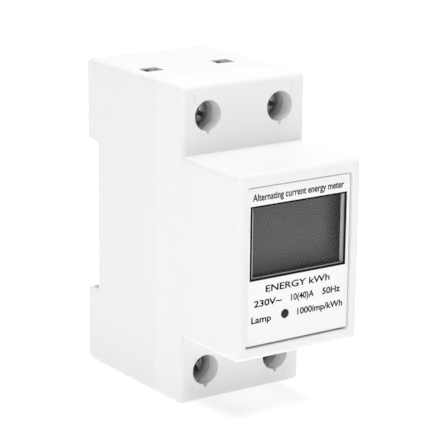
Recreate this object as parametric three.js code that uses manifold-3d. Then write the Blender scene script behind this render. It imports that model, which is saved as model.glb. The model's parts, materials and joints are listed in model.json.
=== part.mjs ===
// Two-module electricity meter for a 35 mm DIN rail, as an assembly of separate pieces.
//
// Millimetres. The origin is the middle of the pad that rests on the rail. +X is across the
// meter, +Y points back into the rail, and +Z is up. The front of the meter faces -Y.

import * as THREE from 'three';
import { RoundedBoxGeometry } from 'three/addons/geometries/RoundedBoxGeometry.js';
import { mergeVertices } from 'three/addons/utils/BufferGeometryUtils.js';
import Module from 'manifold-3d';

const wasm = await Module();
wasm.setup();

// Driving dimensions: the case
const bodyWidth = 36;
const bodyHeight = 78.7;
const terminalDepth = 43.3;
const noseWidth = 35.5;
const noseHeight = 44.7;
const noseLift = 0.15;
const noseDepth = 66.5;
const baseDepth = 32;
const edgeRadius = 1.3;
const wall = 1.8;
const noseFrontWall = 2.1;
const clearance = 0.3;
// Joined solids run into each other by the overlap, and cutters run past a face by the overshoot
const overlap = 0.5;
const overshoot = 1;
const mediumSides = 24;
const smallSides = 16;

// The 35 mm top-hat rail and the recess that takes it
const railWidth = 35;
const railThickness = 1;
const recessDepth = 5.7;
const recessTopGap = 1.45;
const recessBottomGap = 2.25;
const seatLift = 0.4;
const seatWidth = 30;
const seatHeight = 31;
const lipWidth = 27;
const lipThickness = 2.2;
const lipOverlap = 1.6;
const lipPlay = 0.4;
const undersideSlope = 0.09;
const blockCornerRadius = 2.2;
const rampHeight = 1.45;
const rampDepth = 3.5;
const rampInset = 1;

// The label in its recess, and the display window in the label
const labelWidth = 29.7;
const labelHeight = 37.9;
const labelThickness = 0.5;
const labelSink = 0.57;
const labelCornerRadius = 0.6;
const windowWidth = 27.9;
const windowHeight = 17.9;
const windowZ = 5.9;
const frameBorder = 0.6;
const pulseX = -3.57;
const pulseZ = -12.4;
const pulseRadius = 1.1;

// Terminals: one screw clamp near each corner
const boreRadius = 3.7;
const boreDepth = 3.9;
const boreWall = 1.15;
const boreToSideWall = 0.9;
const boreToEndWall = 1.05;
const screwFromSide = wall + boreToSideWall + boreWall + boreRadius;
const screwFromEnd = wall + boreToEndWall + boreWall + boreRadius;
const notchDepth = 0.95;
const notchHalfWidth = 1.4;
const headSink = 5.6;
const headRadius = 3.3;
const headThickness = 2.2;
const recessLength = 5.2;
const recessWidth = 1;
const driverRecessDepth = 1.3;
const shankRadius = 2;
const threadPitch = 0.7;
const clampTurns = 6;
const clampTravel = threadPitch * clampTurns;

// Clamp cages, the bars they squeeze the wire against, and the wire holes
const cageWidth = 9.8;
const cageHeight = 8;
const cageSideWall = 1.1;
const cageFrontWall = 2;
const cageBackWall = 1.5;
const barWidth = 5.6;
const barThickness = 2;
const barEndGap = 1;
const barGap = 1.3;
const wireStep = 0.4;
const cageStep = 0.2;
const cagePlay = 0.45;
const shuntLength = 16;
const shuntThickness = 1.2;
const sensePinRadius = 0.6;
const sensePinLength = 2.6;
const sensePinInset = 1.5;
const wireHoleWidth = 5;
const wireHoleDepth = 4.3;
const wireHoleShift = 1.95;
const retainerThickness = 1.4;
const dividerWall = 1;

// Rail clip and its spring
const clipWidth = 18;
const clipThickness = 2;
const clipOverlap = 1.5;
const clipGripWidth = 13.4;
const clipGripDepth = 1.6;
const clipStandOff = 0.55;
const clipTravel = 4.5;
const springRadius = 2;
const springWire = 0.5;
const springLength = 10;
const springSideGap = 0.6;
const springFrontGap = 0.2;
const lugThickness = 2;
const lugDrop = 3;
const clipSlot = { halfWidth: 2.6, bottom: 1.6, top: 3.4 };

// Circuit boards
const boardThickness = 1.6;
const mainBoardHeight = 49;
const boardSideGap = 0.6;
const displayBoardHeight = 37.4;
const lcdThickness = 2.2;
const lcdHolderDepth = 3.7;
const postRadius = 2.2;
const smallScrewRadius = 1;
const boardPostInset = 3.5;
const ledRadius = 1.5;
const displayPostX = 12;
const displayPostZ = -15.6;
const postHoleDepth = 7;
const boardScrewLength = 6;
const boardScrewHeadThickness = 1.2;

// The display, its holder and the rubber strips that join it to its board
const lcdExtraWidth = 0.2;
const lcdExtraHeight = 1.2;
const holderOuterMargin = 2.6;
const holderInnerMargin = 0.6;
const stripInset = 1.2;
const stripHeight = 1.6;
const stripShortening = 3;
const displayChip = { width: 10, thickness: 1.5, z: 6 };

// Parts on the main board
const filmCapacitor = { left: -14.5, right: -2.8, depth: 10, bottom: 4, top: 17 };
const varistor = { radius: 6, thickness: 4.2, x: 9.5, z: 12.5 };
const largeCapacitor = { radius: 4, length: 12, x: -9.5, z: -2.5 };
const smallCapacitor = { radius: 3.15, length: 9, x: -1, z: -3.5 };
const meteringChip = { left: 5, right: 12.5, depth: 2.3, bottom: -9, top: 1.3 };
const crystal = { left: 3, right: 7.6, depth: 3.5, bottom: -22.5, top: -12 };
const resistor = { radius: 2.2, length: 10, x: 12.5, z: -17, standOff: 2.4 };

// The flat cable between the boards, and its sockets
const cableX = -3.9;
const cableZ = -15.3;
const cableRise = 4.2;
const cableWidth = 10.2;
const cableThickness = 0.8;
const socketWidth = 12;
const socketHeight = 5;
const mainSocketDepth = 6;
const displaySocketDepth = 4.5;

// The one long screw that holds the two halves of the case together
const caseBossRadius = 3.6;
const caseScrewRadius = 1.3;
const caseScrewHeadRadius = 2.5;
const caseScrewHeadY = -16;
const caseScrewHeadThickness = 1.8;
const caseScrewSlotLength = 3.4;
const caseScrewSlotWidth = 0.8;
const caseScrewSlotDepth = 1;
const caseScrewTipGap = 1;
const coverBossRadius = 3;

// Planes that the pieces share
const rearY = recessDepth - seatLift;
const recessY = -seatLift;
const seamY = rearY - baseDepth;
const terminalY = rearY - terminalDepth;
const noseY = rearY - noseDepth;
const halfWidth = bodyWidth / 2;
const halfHeight = bodyHeight / 2;
const innerHalfWidth = halfWidth - wall;
const innerHalfHeight = halfHeight - wall;
const recessTop = railWidth / 2 + recessTopGap;
const recessBottom = -railWidth / 2 - recessBottomGap;
const screwX = halfWidth - screwFromSide;
const screwZ = halfHeight - screwFromEnd;
const headFrontY = terminalY + headSink;
const headBackY = headFrontY + headThickness;
const retainerFrontY = headBackY + clearance;
const retainerBackY = retainerFrontY + retainerThickness;
const cageClosedY = retainerBackY + clearance;
const cageFrontY = cageClosedY + clampTravel;
const barFrontY = cageFrontY + cageFrontWall + barGap;
const barBackY = barFrontY + barThickness;
const wireHoleFrontY = barBackY + wireStep;
const wireHoleBackY = wireHoleFrontY + wireHoleDepth;
const cageInnerBackY = wireHoleBackY + cageStep;
const cageBackY = cageInnerBackY + cageBackWall;
const boardBackY = barFrontY - sensePinLength;
const boardFrontY = boardBackY - boardThickness;
const chamberZ = screwZ - cageHeight / 2 - cagePlay;
const labelFrontY = noseY + labelSink;
const labelBackY = labelFrontY + labelThickness;
const noseInnerY = noseY + noseFrontWall;
const lcdFrontY = noseInnerY + clearance;
const displayBoardFrontY = lcdFrontY + lcdHolderDepth + clearance;
const displayBoardBackY = displayBoardFrontY + boardThickness;
const clipFrontY = railThickness + lipPlay;
const clipBackY = clipFrontY + clipThickness;
const clipTopZ = -railWidth / 2 + clipOverlap;
const clipBottomZ = -halfHeight + clipStandOff;
const springY = clipFrontY - springFrontGap - springRadius;
const lugBottomZ = recessBottom - lugDrop - lugThickness;
const springBottomZ = lugBottomZ - springLength;
const channelHalfWidth = clipWidth / 2 + clearance;
const pocketHalfWidth = springRadius + springSideGap;
const pocketFrontY = springY - pocketHalfWidth - wall;
const innerRearY = recessY - wall;
const caseScrewTipY = terminalY + wall + caseScrewTipGap;
const boardPostZ = mainBoardHeight / 2 - boardPostInset;

// Colours and finishes
const casePlastic = new THREE.MeshStandardMaterial({ color: '#f2f2f0', roughness: 0.45 });
const labelFilm = new THREE.MeshStandardMaterial({ color: '#f1f2f3', roughness: 0.5 });
const lampPlastic = new THREE.MeshStandardMaterial({ color: '#3a1413', roughness: 0.3 });
const blackPlastic = new THREE.MeshStandardMaterial({ color: '#111112', roughness: 0.4 });
const clearPane = new THREE.MeshStandardMaterial({ color: '#dfe6e6', roughness: 0.08 });
const displayGlass = new THREE.MeshStandardMaterial({ color: '#63645f', roughness: 0.25 });
const boardLaminate = new THREE.MeshStandardMaterial({ color: '#1f5b3a', roughness: 0.5 });
const platedSteel = new THREE.MeshStandardMaterial({ color: '#c9c9c4', roughness: 0.3, metalness: 1 });
const brass = new THREE.MeshStandardMaterial({ color: '#c8a450', roughness: 0.35, metalness: 1 });
const copper = new THREE.MeshStandardMaterial({ color: '#b87048', roughness: 0.35, metalness: 1 });
const capacitorYellow = new THREE.MeshStandardMaterial({ color: '#d9b52a', roughness: 0.5 });
const discBlue = new THREE.MeshStandardMaterial({ color: '#2e5ea8', roughness: 0.45 });
const darkPlastic = new THREE.MeshStandardMaterial({ color: '#232325', roughness: 0.5 });
const greyRubber = new THREE.MeshStandardMaterial({ color: '#8b8d90', roughness: 0.7 });
const clipPlastic = new THREE.MeshStandardMaterial({ color: '#ececea', roughness: 0.5 });

const meter = new THREE.Group();

// A closed solid with shared corners, ready to be joined or cut
function solid(geometry) {
  const bare = geometry.index ? geometry.toNonIndexed() : geometry.clone();
  bare.deleteAttribute('normal');
  bare.deleteAttribute('uv');
  const merged = mergeVertices(bare, 1e-5);
  const mesh = new wasm.Mesh({
    numProp: 3,
    vertProperties: merged.attributes.position.array,
    triVerts: merged.index.array,
  });
  return new wasm.Manifold(mesh);
}

function surface(body) {
  const mesh = body.getMesh();
  const geometry = new THREE.BufferGeometry();
  geometry.setAttribute('position', new THREE.BufferAttribute(mesh.vertProperties, 3));
  geometry.setIndex(new THREE.BufferAttribute(mesh.triVerts, 1));
  geometry.computeVertexNormals();
  return geometry;
}

// A block between two corners
function block(x0, x1, y0, y1, z0, z1) {
  const geometry = new THREE.BoxGeometry(x1 - x0, y1 - y0, z1 - z0);
  return solid(geometry.translate((x0 + x1) / 2, (y0 + y1) / 2, (z0 + z1) / 2));
}

function centredBlock(width, y0, y1, height, x, z) {
  return block(x - width / 2, x + width / 2, y0, y1, z - height / 2, z + height / 2);
}

// A block with all its edges rounded
function roundedBlock(width, y0, y1, height, z) {
  const geometry = new RoundedBoxGeometry(width, y1 - y0, height, 2, edgeRadius);
  return solid(geometry.translate(0, (y0 + y1) / 2, z));
}

// A round bar along Y
function barAlongY(radius, y0, y1, x, z, sides = 32) {
  const geometry = new THREE.CylinderGeometry(radius, radius, y1 - y0, sides);
  return solid(geometry.translate(x, (y0 + y1) / 2, z));
}

// An outline in X and Z, carried back along Y
function plateAlongY(shape, y0, y1, curveSegments = 6) {
  const settings = { depth: y1 - y0, bevelEnabled: false, curveSegments };
  const geometry = new THREE.ExtrudeGeometry(shape, settings);
  return solid(geometry.rotateX(Math.PI / 2).translate(0, y1, 0));
}

// An outline in Y and Z, carried across along X
function plateAlongX(shape, x0, x1) {
  const settings = { depth: x1 - x0, bevelEnabled: false, curveSegments: 6 };
  const geometry = new THREE.ExtrudeGeometry(shape, settings);
  geometry.rotateY(Math.PI / 2).rotateX(Math.PI / 2);
  return solid(geometry.translate(x0, 0, 0));
}

function roundedRectangle(width, height, radius, x, z) {
  const shape = new THREE.Shape();
  const right = x + width / 2 - radius;
  const left = x - width / 2 + radius;
  const top = z + height / 2 - radius;
  const bottom = z - height / 2 + radius;
  shape.absarc(right, bottom, radius, -Math.PI / 2, 0);
  shape.absarc(right, top, radius, 0, Math.PI / 2);
  shape.absarc(left, top, radius, Math.PI / 2, Math.PI);
  shape.absarc(left, bottom, radius, Math.PI, 1.5 * Math.PI);
  return shape;
}

function add(name, body, material) {
  const mesh = new THREE.Mesh(surface(body), material);
  mesh.name = name;
  meter.add(mesh);
}

// The four corners: side -1 is left and 1 is right, end 1 is the top and -1 the bottom
const corners = [];
for (const end of [1, -1]) {
  for (const side of [-1, 1]) {
    const name = `${end > 0 ? 'upper' : 'lower'}_${side > 0 ? 'right' : 'left'}`;
    corners.push({ name, side, end, x: side * screwX, z: end * screwZ });
  }
}

// The whole outside of the case, before it is split at the seam
function caseOutside() {
  const terminals = roundedBlock(bodyWidth, terminalY, rearY, bodyHeight, 0);
  const nose = roundedBlock(noseWidth, noseY, seamY + 2 * edgeRadius, noseHeight, noseLift);
  return terminals.add(nose);
}

// The space that the rail comes into, open at the back and at both sides
function railRecess() {
  const rise = undersideSlope * recessDepth;
  const reach = 2 * blockCornerRadius;
  const shape = new THREE.Shape();
  shape.moveTo(recessY, recessTop - rise / 2);
  shape.lineTo(rearY + reach, recessTop + rise / 2 + undersideSlope * reach);
  shape.lineTo(rearY + reach, recessBottom - blockCornerRadius);
  shape.lineTo(rearY, recessBottom - blockCornerRadius);
  const cornerY = rearY - blockCornerRadius;
  const cornerZ = recessBottom - blockCornerRadius;
  shape.absarc(cornerY, cornerZ, blockCornerRadius, 0, Math.PI / 2);
  shape.lineTo(recessY, recessBottom);
  return plateAlongX(shape, -bodyWidth, bodyWidth);
}

// The lip that hooks over the top edge of the rail
function railLip() {
  const front = railThickness + lipPlay;
  const tip = railWidth / 2 - lipOverlap;
  const shape = new THREE.Shape();
  shape.moveTo(front, recessTop + overshoot);
  shape.lineTo(front, tip);
  shape.lineTo(front + lipThickness / 2, tip);
  shape.lineTo(front + lipThickness, tip + lipThickness / 2);
  shape.lineTo(front + lipThickness, recessTop + overshoot);
  return plateAlongX(shape, -lipWidth / 2, lipWidth / 2);
}

// The sloping rib that guides the bottom edge of the rail
function railRamp() {
  const shape = new THREE.Shape();
  shape.moveTo(recessY - overlap, recessBottom - overlap);
  shape.lineTo(recessY - overlap, recessBottom + rampHeight);
  shape.lineTo(recessY, recessBottom + rampHeight);
  shape.lineTo(recessY + rampDepth, recessBottom);
  shape.lineTo(recessY + rampDepth, recessBottom - overlap);
  return plateAlongX(shape, -halfWidth + rampInset, halfWidth - rampInset);
}

function wireHole(corner) {
  const x = corner.x - wireHoleShift;
  const z = corner.end * (innerHalfHeight + wall / 2);
  return centredBlock(wireHoleWidth, wireHoleFrontY, wireHoleBackY, 2 * wall, x, z);
}

// The channel that the rail clip slides in, with the pocket for its spring
function clipChannel() {
  const floorY = clipFrontY - clearance;
  const underZ = -halfHeight - overshoot;
  const mouthHalf = clipGripWidth / 2 + clearance;
  const slotTopZ = recessBottom + rampHeight + overshoot;
  const slot = block(
    -channelHalfWidth, channelHalfWidth, floorY, clipBackY + clearance, underZ, slotTopZ,
  );
  const mouth = block(
    -mouthHalf, mouthHalf, floorY, rearY + overshoot, underZ, recessBottom + overshoot,
  );
  const pocket = block(
    -pocketHalfWidth, pocketHalfWidth, springY - pocketHalfWidth, floorY + overshoot,
    springBottomZ, recessBottom + 2 * overshoot,
  );
  return slot.add(mouth).add(pocket);
}

// The space inside the rear base, in three parts: behind the recess, and above and below it
function baseInside() {
  const width = 2 * innerHalfWidth;
  const upperBottomZ = recessTop + undersideSlope * recessDepth + wall;
  const behind = block(
    -innerHalfWidth, innerHalfWidth, seamY - overshoot, innerRearY, recessBottom, innerHalfHeight,
  );
  const below = centredBlock(width, seamY - overshoot, pocketFrontY, 2 * innerHalfHeight, 0, 0);
  const above = block(
    -innerHalfWidth, innerHalfWidth, innerRearY - overshoot, rearY - wall,
    upperBottomZ, innerHalfHeight,
  );
  return behind.add(below).add(above);
}

// The walls round a clamp cage, with a slot for the bar
function cageChamber(corner) {
  const inward = -corner.side;
  const inner = corner.side * (screwX - cageWidth / 2 - clearance);
  const outer = corner.side * (innerHalfWidth + overlap);
  const [x0, x1] = [inner, inner + inward * dividerWall].sort((a, b) => a - b);
  const [x2, x3] = [inner, outer].sort((a, b) => a - b);
  const shelf = [corner.end * chamberZ, corner.end * (chamberZ - dividerWall)];
  const [z0, z1] = shelf.sort((a, b) => a - b);
  const ends = [corner.end * (chamberZ - dividerWall), corner.end * (innerHalfHeight + overlap)];
  const [z2, z3] = ends.sort((a, b) => a - b);
  const frontY = retainerBackY + clearance;
  const backY = (corner.end > 0 ? innerRearY : pocketFrontY) + overlap;
  const slot = centredBlock(
    barWidth + 2 * clearance, barFrontY - clearance, barBackY + clearance,
    3 * dividerWall, corner.x, corner.end * (chamberZ - dividerWall / 2),
  );
  const kept = centredBlock(
    2 * (innerHalfWidth - clearance), frontY - 2 * overshoot, seamY + overshoot,
    2 * (innerHalfHeight - clearance), 0, 0,
  );
  const play = centredBlock(bodyWidth, frontY - overshoot, seamY, 2 * bodyHeight, 0, 0).subtract(kept);
  const divider = block(x0, x1, frontY, backY, z2, z3);
  const floor = block(x2, x3, frontY, backY, z0, z1);
  return divider.add(floor).subtract(slot).subtract(play);
}

function rearBase() {
  const behindSeam = centredBlock(2 * bodyWidth, seamY, rearY + overshoot, 2 * bodyHeight, 0, 0);
  let body = caseOutside().intersect(behindSeam).subtract(railRecess());
  body = body.add(centredBlock(seatWidth, recessY - overlap, 0, seatHeight, 0, 0));
  body = body.add(railLip()).add(railRamp()).subtract(baseInside()).subtract(clipChannel());
  for (const corner of corners) {
    body = body.add(cageChamber(corner)).subtract(wireHole(corner));
  }
  for (const end of [1, -1]) {
    const z = end * boardPostZ;
    const footY = (end > 0 ? innerRearY : pocketFrontY) + overlap;
    const post = barAlongY(postRadius, boardBackY, footY, 0, z, mediumSides);
    const hole = barAlongY(
      smallScrewRadius + clearance, boardBackY - overshoot, boardBackY + postHoleDepth, 0, z, smallSides,
    );
    body = body.add(post).subtract(hole);
  }
  const outsideY = rearY + overshoot;
  const counterboreRadius = caseScrewHeadRadius + clearance;
  const holeRadius = caseScrewRadius + clearance;
  const boss = barAlongY(caseBossRadius, seamY, rearY - overlap, 0, screwZ);
  const counterbore = barAlongY(counterboreRadius, caseScrewHeadY, outsideY, 0, screwZ);
  const shankHole = barAlongY(holeRadius, seamY - overshoot, outsideY, 0, screwZ, smallSides);
  return body.add(boss).subtract(counterbore).subtract(shankHole);
}

function frontCover() {
  const farY = noseY - overshoot;
  const pastY = noseInnerY + overshoot;
  const innerNoseWidth = noseWidth - 2 * wall;
  const innerNoseHeight = noseHeight - 2 * wall;
  const insideY = terminalY + wall;
  let body = caseOutside().intersect(centredBlock(2 * bodyWidth, farY, seamY, 2 * bodyHeight, 0, 0));
  body = body.subtract(
    centredBlock(2 * innerHalfWidth, insideY, seamY + overshoot, 2 * innerHalfHeight, 0, 0),
  );
  body = body.subtract(
    centredBlock(innerNoseWidth, noseInnerY, seamY + overshoot, innerNoseHeight, 0, noseLift),
  );
  const recess = roundedRectangle(
    labelWidth + 2 * clearance, labelHeight + 2 * clearance, labelCornerRadius, 0, noseLift,
  );
  body = body.subtract(plateAlongY(recess, farY, labelBackY)).subtract(windowOpening(farY, pastY));
  const lampHole = barAlongY(ledRadius + clearance, noseY, pastY, pulseX, pulseZ, mediumSides);
  body = body.subtract(lampHole);
  for (const corner of corners) {
    const tubeRadius = boreRadius + boreWall;
    const tube = barAlongY(tubeRadius, terminalY + wall / 2, terminalY + boreDepth, corner.x, corner.z);
    body = body.add(tube).subtract(screwBore(corner));
  }
  const pilotRadius = caseScrewRadius + clearance;
  const boss = barAlongY(coverBossRadius, insideY - overlap, seamY - clearance, 0, screwZ);
  const pilot = barAlongY(pilotRadius, caseScrewTipY - clearance, seamY, 0, screwZ, smallSides);
  body = body.add(boss).subtract(pilot);
  for (const side of [-1, 1]) {
    const x = side * displayPostX;
    const endY = displayBoardFrontY;
    const holeRadius = smallScrewRadius + clearance;
    const post = barAlongY(postRadius, noseInnerY - overlap, endY, x, displayPostZ, mediumSides);
    const hole = barAlongY(holeRadius, noseInnerY, endY + overshoot, x, displayPostZ, smallSides);
    body = body.add(post).subtract(hole);
  }
  return body;
}

// The screwdriver hole, with a small notch at its foot
function screwBore(corner) {
  const shape = new THREE.Shape();
  const spread = Math.asin(notchHalfWidth / boreRadius);
  const down = -Math.PI / 2;
  shape.absarc(corner.x, corner.z, boreRadius, down + spread, down - spread + 2 * Math.PI);
  shape.lineTo(corner.x, corner.z - boreRadius - notchDepth);
  return plateAlongY(shape, terminalY - overshoot, terminalY + boreDepth + overshoot, 32);
}

function faceplate() {
  const [y0, y1] = [labelFrontY - overshoot, labelBackY + overshoot];
  const outline = roundedRectangle(labelWidth, labelHeight, labelCornerRadius, 0, noseLift);
  const opening = centredBlock(windowWidth, y0, y1, windowHeight, 0, windowZ);
  const lampHole = barAlongY(pulseRadius, y0, y1, pulseX, pulseZ, mediumSides);
  return plateAlongY(outline, labelFrontY, labelBackY).subtract(opening).subtract(lampHole);
}

// What shows through the frame of the window, from one plane to another
function windowOpening(y0, y1) {
  const width = windowWidth - 2 * frameBorder;
  const height = windowHeight - 2 * frameBorder;
  return centredBlock(width, y0, y1, height, 0, windowZ);
}

function windowFrame() {
  const outer = centredBlock(windowWidth, labelFrontY, labelBackY, windowHeight, 0, windowZ);
  return outer.subtract(windowOpening(labelFrontY - overshoot, labelBackY + overshoot));
}

function displayParts() {
  const width = windowWidth + lcdExtraWidth;
  const height = windowHeight + lcdExtraHeight;
  const lcdBackY = lcdFrontY + lcdThickness;
  const holderOuter = centredBlock(
    width + holderOuterMargin, lcdFrontY, lcdFrontY + lcdHolderDepth, height + holderOuterMargin,
    0, windowZ,
  );
  const holderInner = centredBlock(
    width + holderInnerMargin, lcdFrontY - overshoot, displayBoardFrontY, height + holderInnerMargin,
    0, windowZ,
  );
  add('lcd_panel', centredBlock(width, lcdFrontY, lcdBackY, height, 0, windowZ), displayGlass);
  add('lcd_holder', holderOuter.subtract(holderInner), casePlastic);
  for (const [name, end] of [['upper', 1], ['lower', -1]]) {
    const z = windowZ + end * (height / 2 - stripInset);
    const length = width - stripShortening;
    const strip = centredBlock(length, lcdBackY, displayBoardFrontY, stripHeight, 0, z);
    add(`lcd_contact_strip_${name}`, strip, greyRubber);
  }
  const chipBackY = displayBoardBackY + displayChip.thickness;
  const chip = centredBlock(
    displayChip.width, displayBoardBackY, chipBackY, displayChip.width, 0, displayChip.z,
  );
  add('display_board', displayBoard(), boardLaminate);
  add('display_controller_chip', chip, darkPlastic);
  add('pulse_led', pulseLed(), lampPlastic);
  add('display_board_screw_left', displayScrew(-displayPostX), platedSteel);
  add('display_board_screw_right', displayScrew(displayPostX), platedSteel);
}

function displayBoard() {
  const [y0, y1] = [displayBoardFrontY, displayBoardBackY];
  const width = noseWidth - 2 * wall - 2 * boardSideGap;
  const radius = smallScrewRadius + clearance;
  let board = centredBlock(width, y0, y1, displayBoardHeight, 0, noseLift);
  for (const x of [-displayPostX, displayPostX]) {
    const hole = barAlongY(radius, y0 - overshoot, y1 + overshoot, x, displayPostZ, smallSides);
    board = board.subtract(hole);
  }
  return board;
}

function displayScrew(x) {
  const tipY = noseInnerY + 2 * clearance;
  const headY = displayBoardBackY;
  const headBack = headY + boardScrewHeadThickness;
  const head = barAlongY(2 * smallScrewRadius, headY, headBack, x, displayPostZ, smallSides);
  const shank = barAlongY(smallScrewRadius, tipY, headY + overlap, x, displayPostZ, smallSides);
  return head.add(shank);
}

// A domed indicator lamp, turned about its own axis
function pulseLed() {
  const tip = displayBoardFrontY - labelBackY - clearance;
  const steps = 6;
  const points = [new THREE.Vector2(0, 0)];
  points.push(new THREE.Vector2(ledRadius, 0));
  points.push(new THREE.Vector2(ledRadius, tip - ledRadius));
  for (let step = 1; step < steps; step += 1) {
    const angle = (step / steps) * (Math.PI / 2);
    const height = tip - ledRadius + ledRadius * Math.sin(angle);
    points.push(new THREE.Vector2(ledRadius * Math.cos(angle), height));
  }
  points.push(new THREE.Vector2(0, tip));
  const geometry = new THREE.LatheGeometry(points, smallSides);
  return solid(geometry.rotateX(Math.PI).translate(pulseX, displayBoardFrontY, pulseZ));
}

// A rectangular part that stands on the front of the main board
function boardBlock(part) {
  return block(part.left, part.right, boardFrontY - part.depth, boardFrontY, part.bottom, part.top);
}

// A round can that stands on the front of the main board
function boardCan(part) {
  const topY = boardFrontY - part.length;
  return barAlongY(part.radius, topY, boardFrontY, part.x, part.z, mediumSides);
}

function mainBoard() {
  const width = 2 * (innerHalfWidth - boardSideGap);
  const radius = smallScrewRadius + clearance;
  const [y0, y1] = [boardFrontY - overshoot, boardBackY + overshoot];
  let board = centredBlock(width, boardFrontY, boardBackY, mainBoardHeight, 0, 0);
  for (const z of [-boardPostZ, boardPostZ]) {
    board = board.subtract(barAlongY(radius, y0, y1, 0, z, smallSides));
  }
  return board;
}

function mainScrew(z) {
  const headY = boardFrontY - boardScrewHeadThickness;
  const tipY = boardBackY + boardScrewLength;
  const head = barAlongY(2 * smallScrewRadius, headY, boardFrontY, 0, z, smallSides);
  return head.add(barAlongY(smallScrewRadius, boardFrontY - overlap, tipY, 0, z, smallSides));
}

function boardParts() {
  const disc = new THREE.CylinderGeometry(varistor.radius, varistor.radius, varistor.thickness, 28);
  disc.rotateZ(Math.PI / 2).translate(varistor.x, boardFrontY - varistor.radius, varistor.z);
  const body = new THREE.CylinderGeometry(resistor.radius, resistor.radius, resistor.length, 20);
  body.rotateX(Math.PI / 2).translate(resistor.x, boardFrontY - resistor.standOff, resistor.z);
  add('main_board', mainBoard(), boardLaminate);
  add('main_board_screw_upper', mainScrew(boardPostZ), platedSteel);
  add('main_board_screw_lower', mainScrew(-boardPostZ), platedSteel);
  add('film_capacitor', boardBlock(filmCapacitor), capacitorYellow);
  add('varistor', solid(disc), discBlue);
  add('reservoir_capacitor_large', boardCan(largeCapacitor), darkPlastic);
  add('reservoir_capacitor_small', boardCan(smallCapacitor), darkPlastic);
  add('metering_chip', boardBlock(meteringChip), darkPlastic);
  add('crystal', boardBlock(crystal), platedSteel);
  add('dropper_resistor', solid(body), greyRubber);
}

// The flat cable and the two sockets that join the boards
function boardLink() {
  const mainTop = boardFrontY - mainSocketDepth;
  const displayTop = displayBoardBackY + displaySocketDepth;
  const middle = (mainTop + displayTop) / 2;
  const half = cableThickness / 2;
  const upperZ = cableZ + cableRise;
  const mainSocket = centredBlock(socketWidth, mainTop, boardFrontY, socketHeight, cableX, cableZ);
  const displaySocket = centredBlock(
    socketWidth, displayBoardBackY, displayTop, socketHeight, cableX, upperZ,
  );
  const shape = new THREE.Shape();
  shape.moveTo(mainTop, cableZ - half);
  shape.bezierCurveTo(middle, cableZ - half, middle, upperZ - half, displayTop, upperZ - half);
  shape.lineTo(displayTop, upperZ + half);
  shape.bezierCurveTo(middle, upperZ + half, middle, cableZ + half, mainTop, cableZ + half);
  const cable = plateAlongX(shape, cableX - cableWidth / 2, cableX + cableWidth / 2);
  add('board_socket_main', mainSocket, blackPlastic);
  add('board_socket_display', displaySocket, blackPlastic);
  add('ribbon_cable', cable, greyRubber);
}

// The current path: one bar for neutral, and two with the measuring shunt between them for live
function currentBars() {
  const neutralX = -screwX;
  const liveX = screwX;
  const barTop = innerHalfHeight - barEndGap;
  const liveHeight = barTop - shuntLength / 2;
  const liveZ = barTop - liveHeight / 2;
  const shuntFrontY = barFrontY + (barThickness - shuntThickness) / 2;
  const shuntBackY = shuntFrontY + shuntThickness;
  const bar = (height, x, z) => centredBlock(barWidth, barFrontY, barBackY, height, x, z);
  const pin = (x, z) => barAlongY(sensePinRadius, boardBackY, barFrontY, x, z, 12);
  const pinZ = shuntLength / 2 + sensePinInset;
  add('neutral_bar', bar(2 * barTop, neutralX, 0), copper);
  add('live_bar_upper', bar(liveHeight, liveX, liveZ), copper);
  add('live_bar_lower', bar(liveHeight, liveX, -liveZ), copper);
  add('measuring_shunt', centredBlock(barWidth, shuntFrontY, shuntBackY, shuntLength, liveX, 0), platedSteel);
  add('sense_pin_upper', pin(liveX, pinZ), brass);
  add('sense_pin_lower', pin(liveX, -pinZ), brass);
  add('sense_pin_neutral', pin(neutralX, pinZ), brass);
}

// The plate that holds the screws in, with a tube round each screw's head
function terminalRetainer(end) {
  const z = end * screwZ;
  const [y0, y1] = [retainerFrontY - overshoot, retainerBackY + overshoot];
  const tubeFrontY = terminalY + boreDepth + clearance;
  const width = 2 * (innerHalfWidth - clearance);
  const height = innerHalfHeight - clearance - (chamberZ - dividerWall);
  const plateZ = end * (innerHalfHeight - clearance - height / 2);
  let body = centredBlock(width, retainerFrontY, retainerBackY, height, 0, plateZ);
  body = body.subtract(barAlongY(coverBossRadius + clearance, y0, y1, 0, z));
  for (const x of [-screwX, screwX]) {
    const tube = barAlongY(boreRadius + boreWall, tubeFrontY, retainerFrontY + overlap, x, z);
    const headSpace = barAlongY(headRadius + clearance, terminalY, retainerFrontY, x, z);
    const shankSpace = barAlongY(shankRadius + clearance, y0, y1, x, z, mediumSides);
    body = body.add(tube).subtract(headSpace).subtract(shankSpace);
  }
  return body;
}

// A pan-head clamp screw with a crossed recess
function terminalScrew(corner) {
  const { x, z } = corner;
  const [y0, y1] = [headFrontY - overshoot, headFrontY + driverRecessDepth];
  const tipY = barFrontY - clearance;
  const head = barAlongY(headRadius, headFrontY, headBackY, x, z);
  const shank = barAlongY(shankRadius, headBackY - overlap, tipY, x, z, mediumSides);
  const slot = centredBlock(recessLength, y0, y1, recessWidth, x, z);
  const cross = centredBlock(recessWidth, y0, y1, recessLength, x, z);
  return head.add(shank).subtract(slot).subtract(cross);
}

function clampCage(corner) {
  const { x, z } = corner;
  const innerWidth = cageWidth - 2 * cageSideWall;
  const innerFrontY = cageFrontY + cageFrontWall;
  const threadRadius = shankRadius + clearance;
  const [y0, y1] = [cageFrontY - overshoot, innerFrontY + overshoot];
  const outer = centredBlock(cageWidth, cageFrontY, cageBackY, cageHeight, x, z);
  const inner = centredBlock(innerWidth, innerFrontY, cageInnerBackY, 2 * cageHeight, x, z);
  return outer.subtract(inner).subtract(barAlongY(threadRadius, y0, y1, x, z, mediumSides));
}

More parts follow.
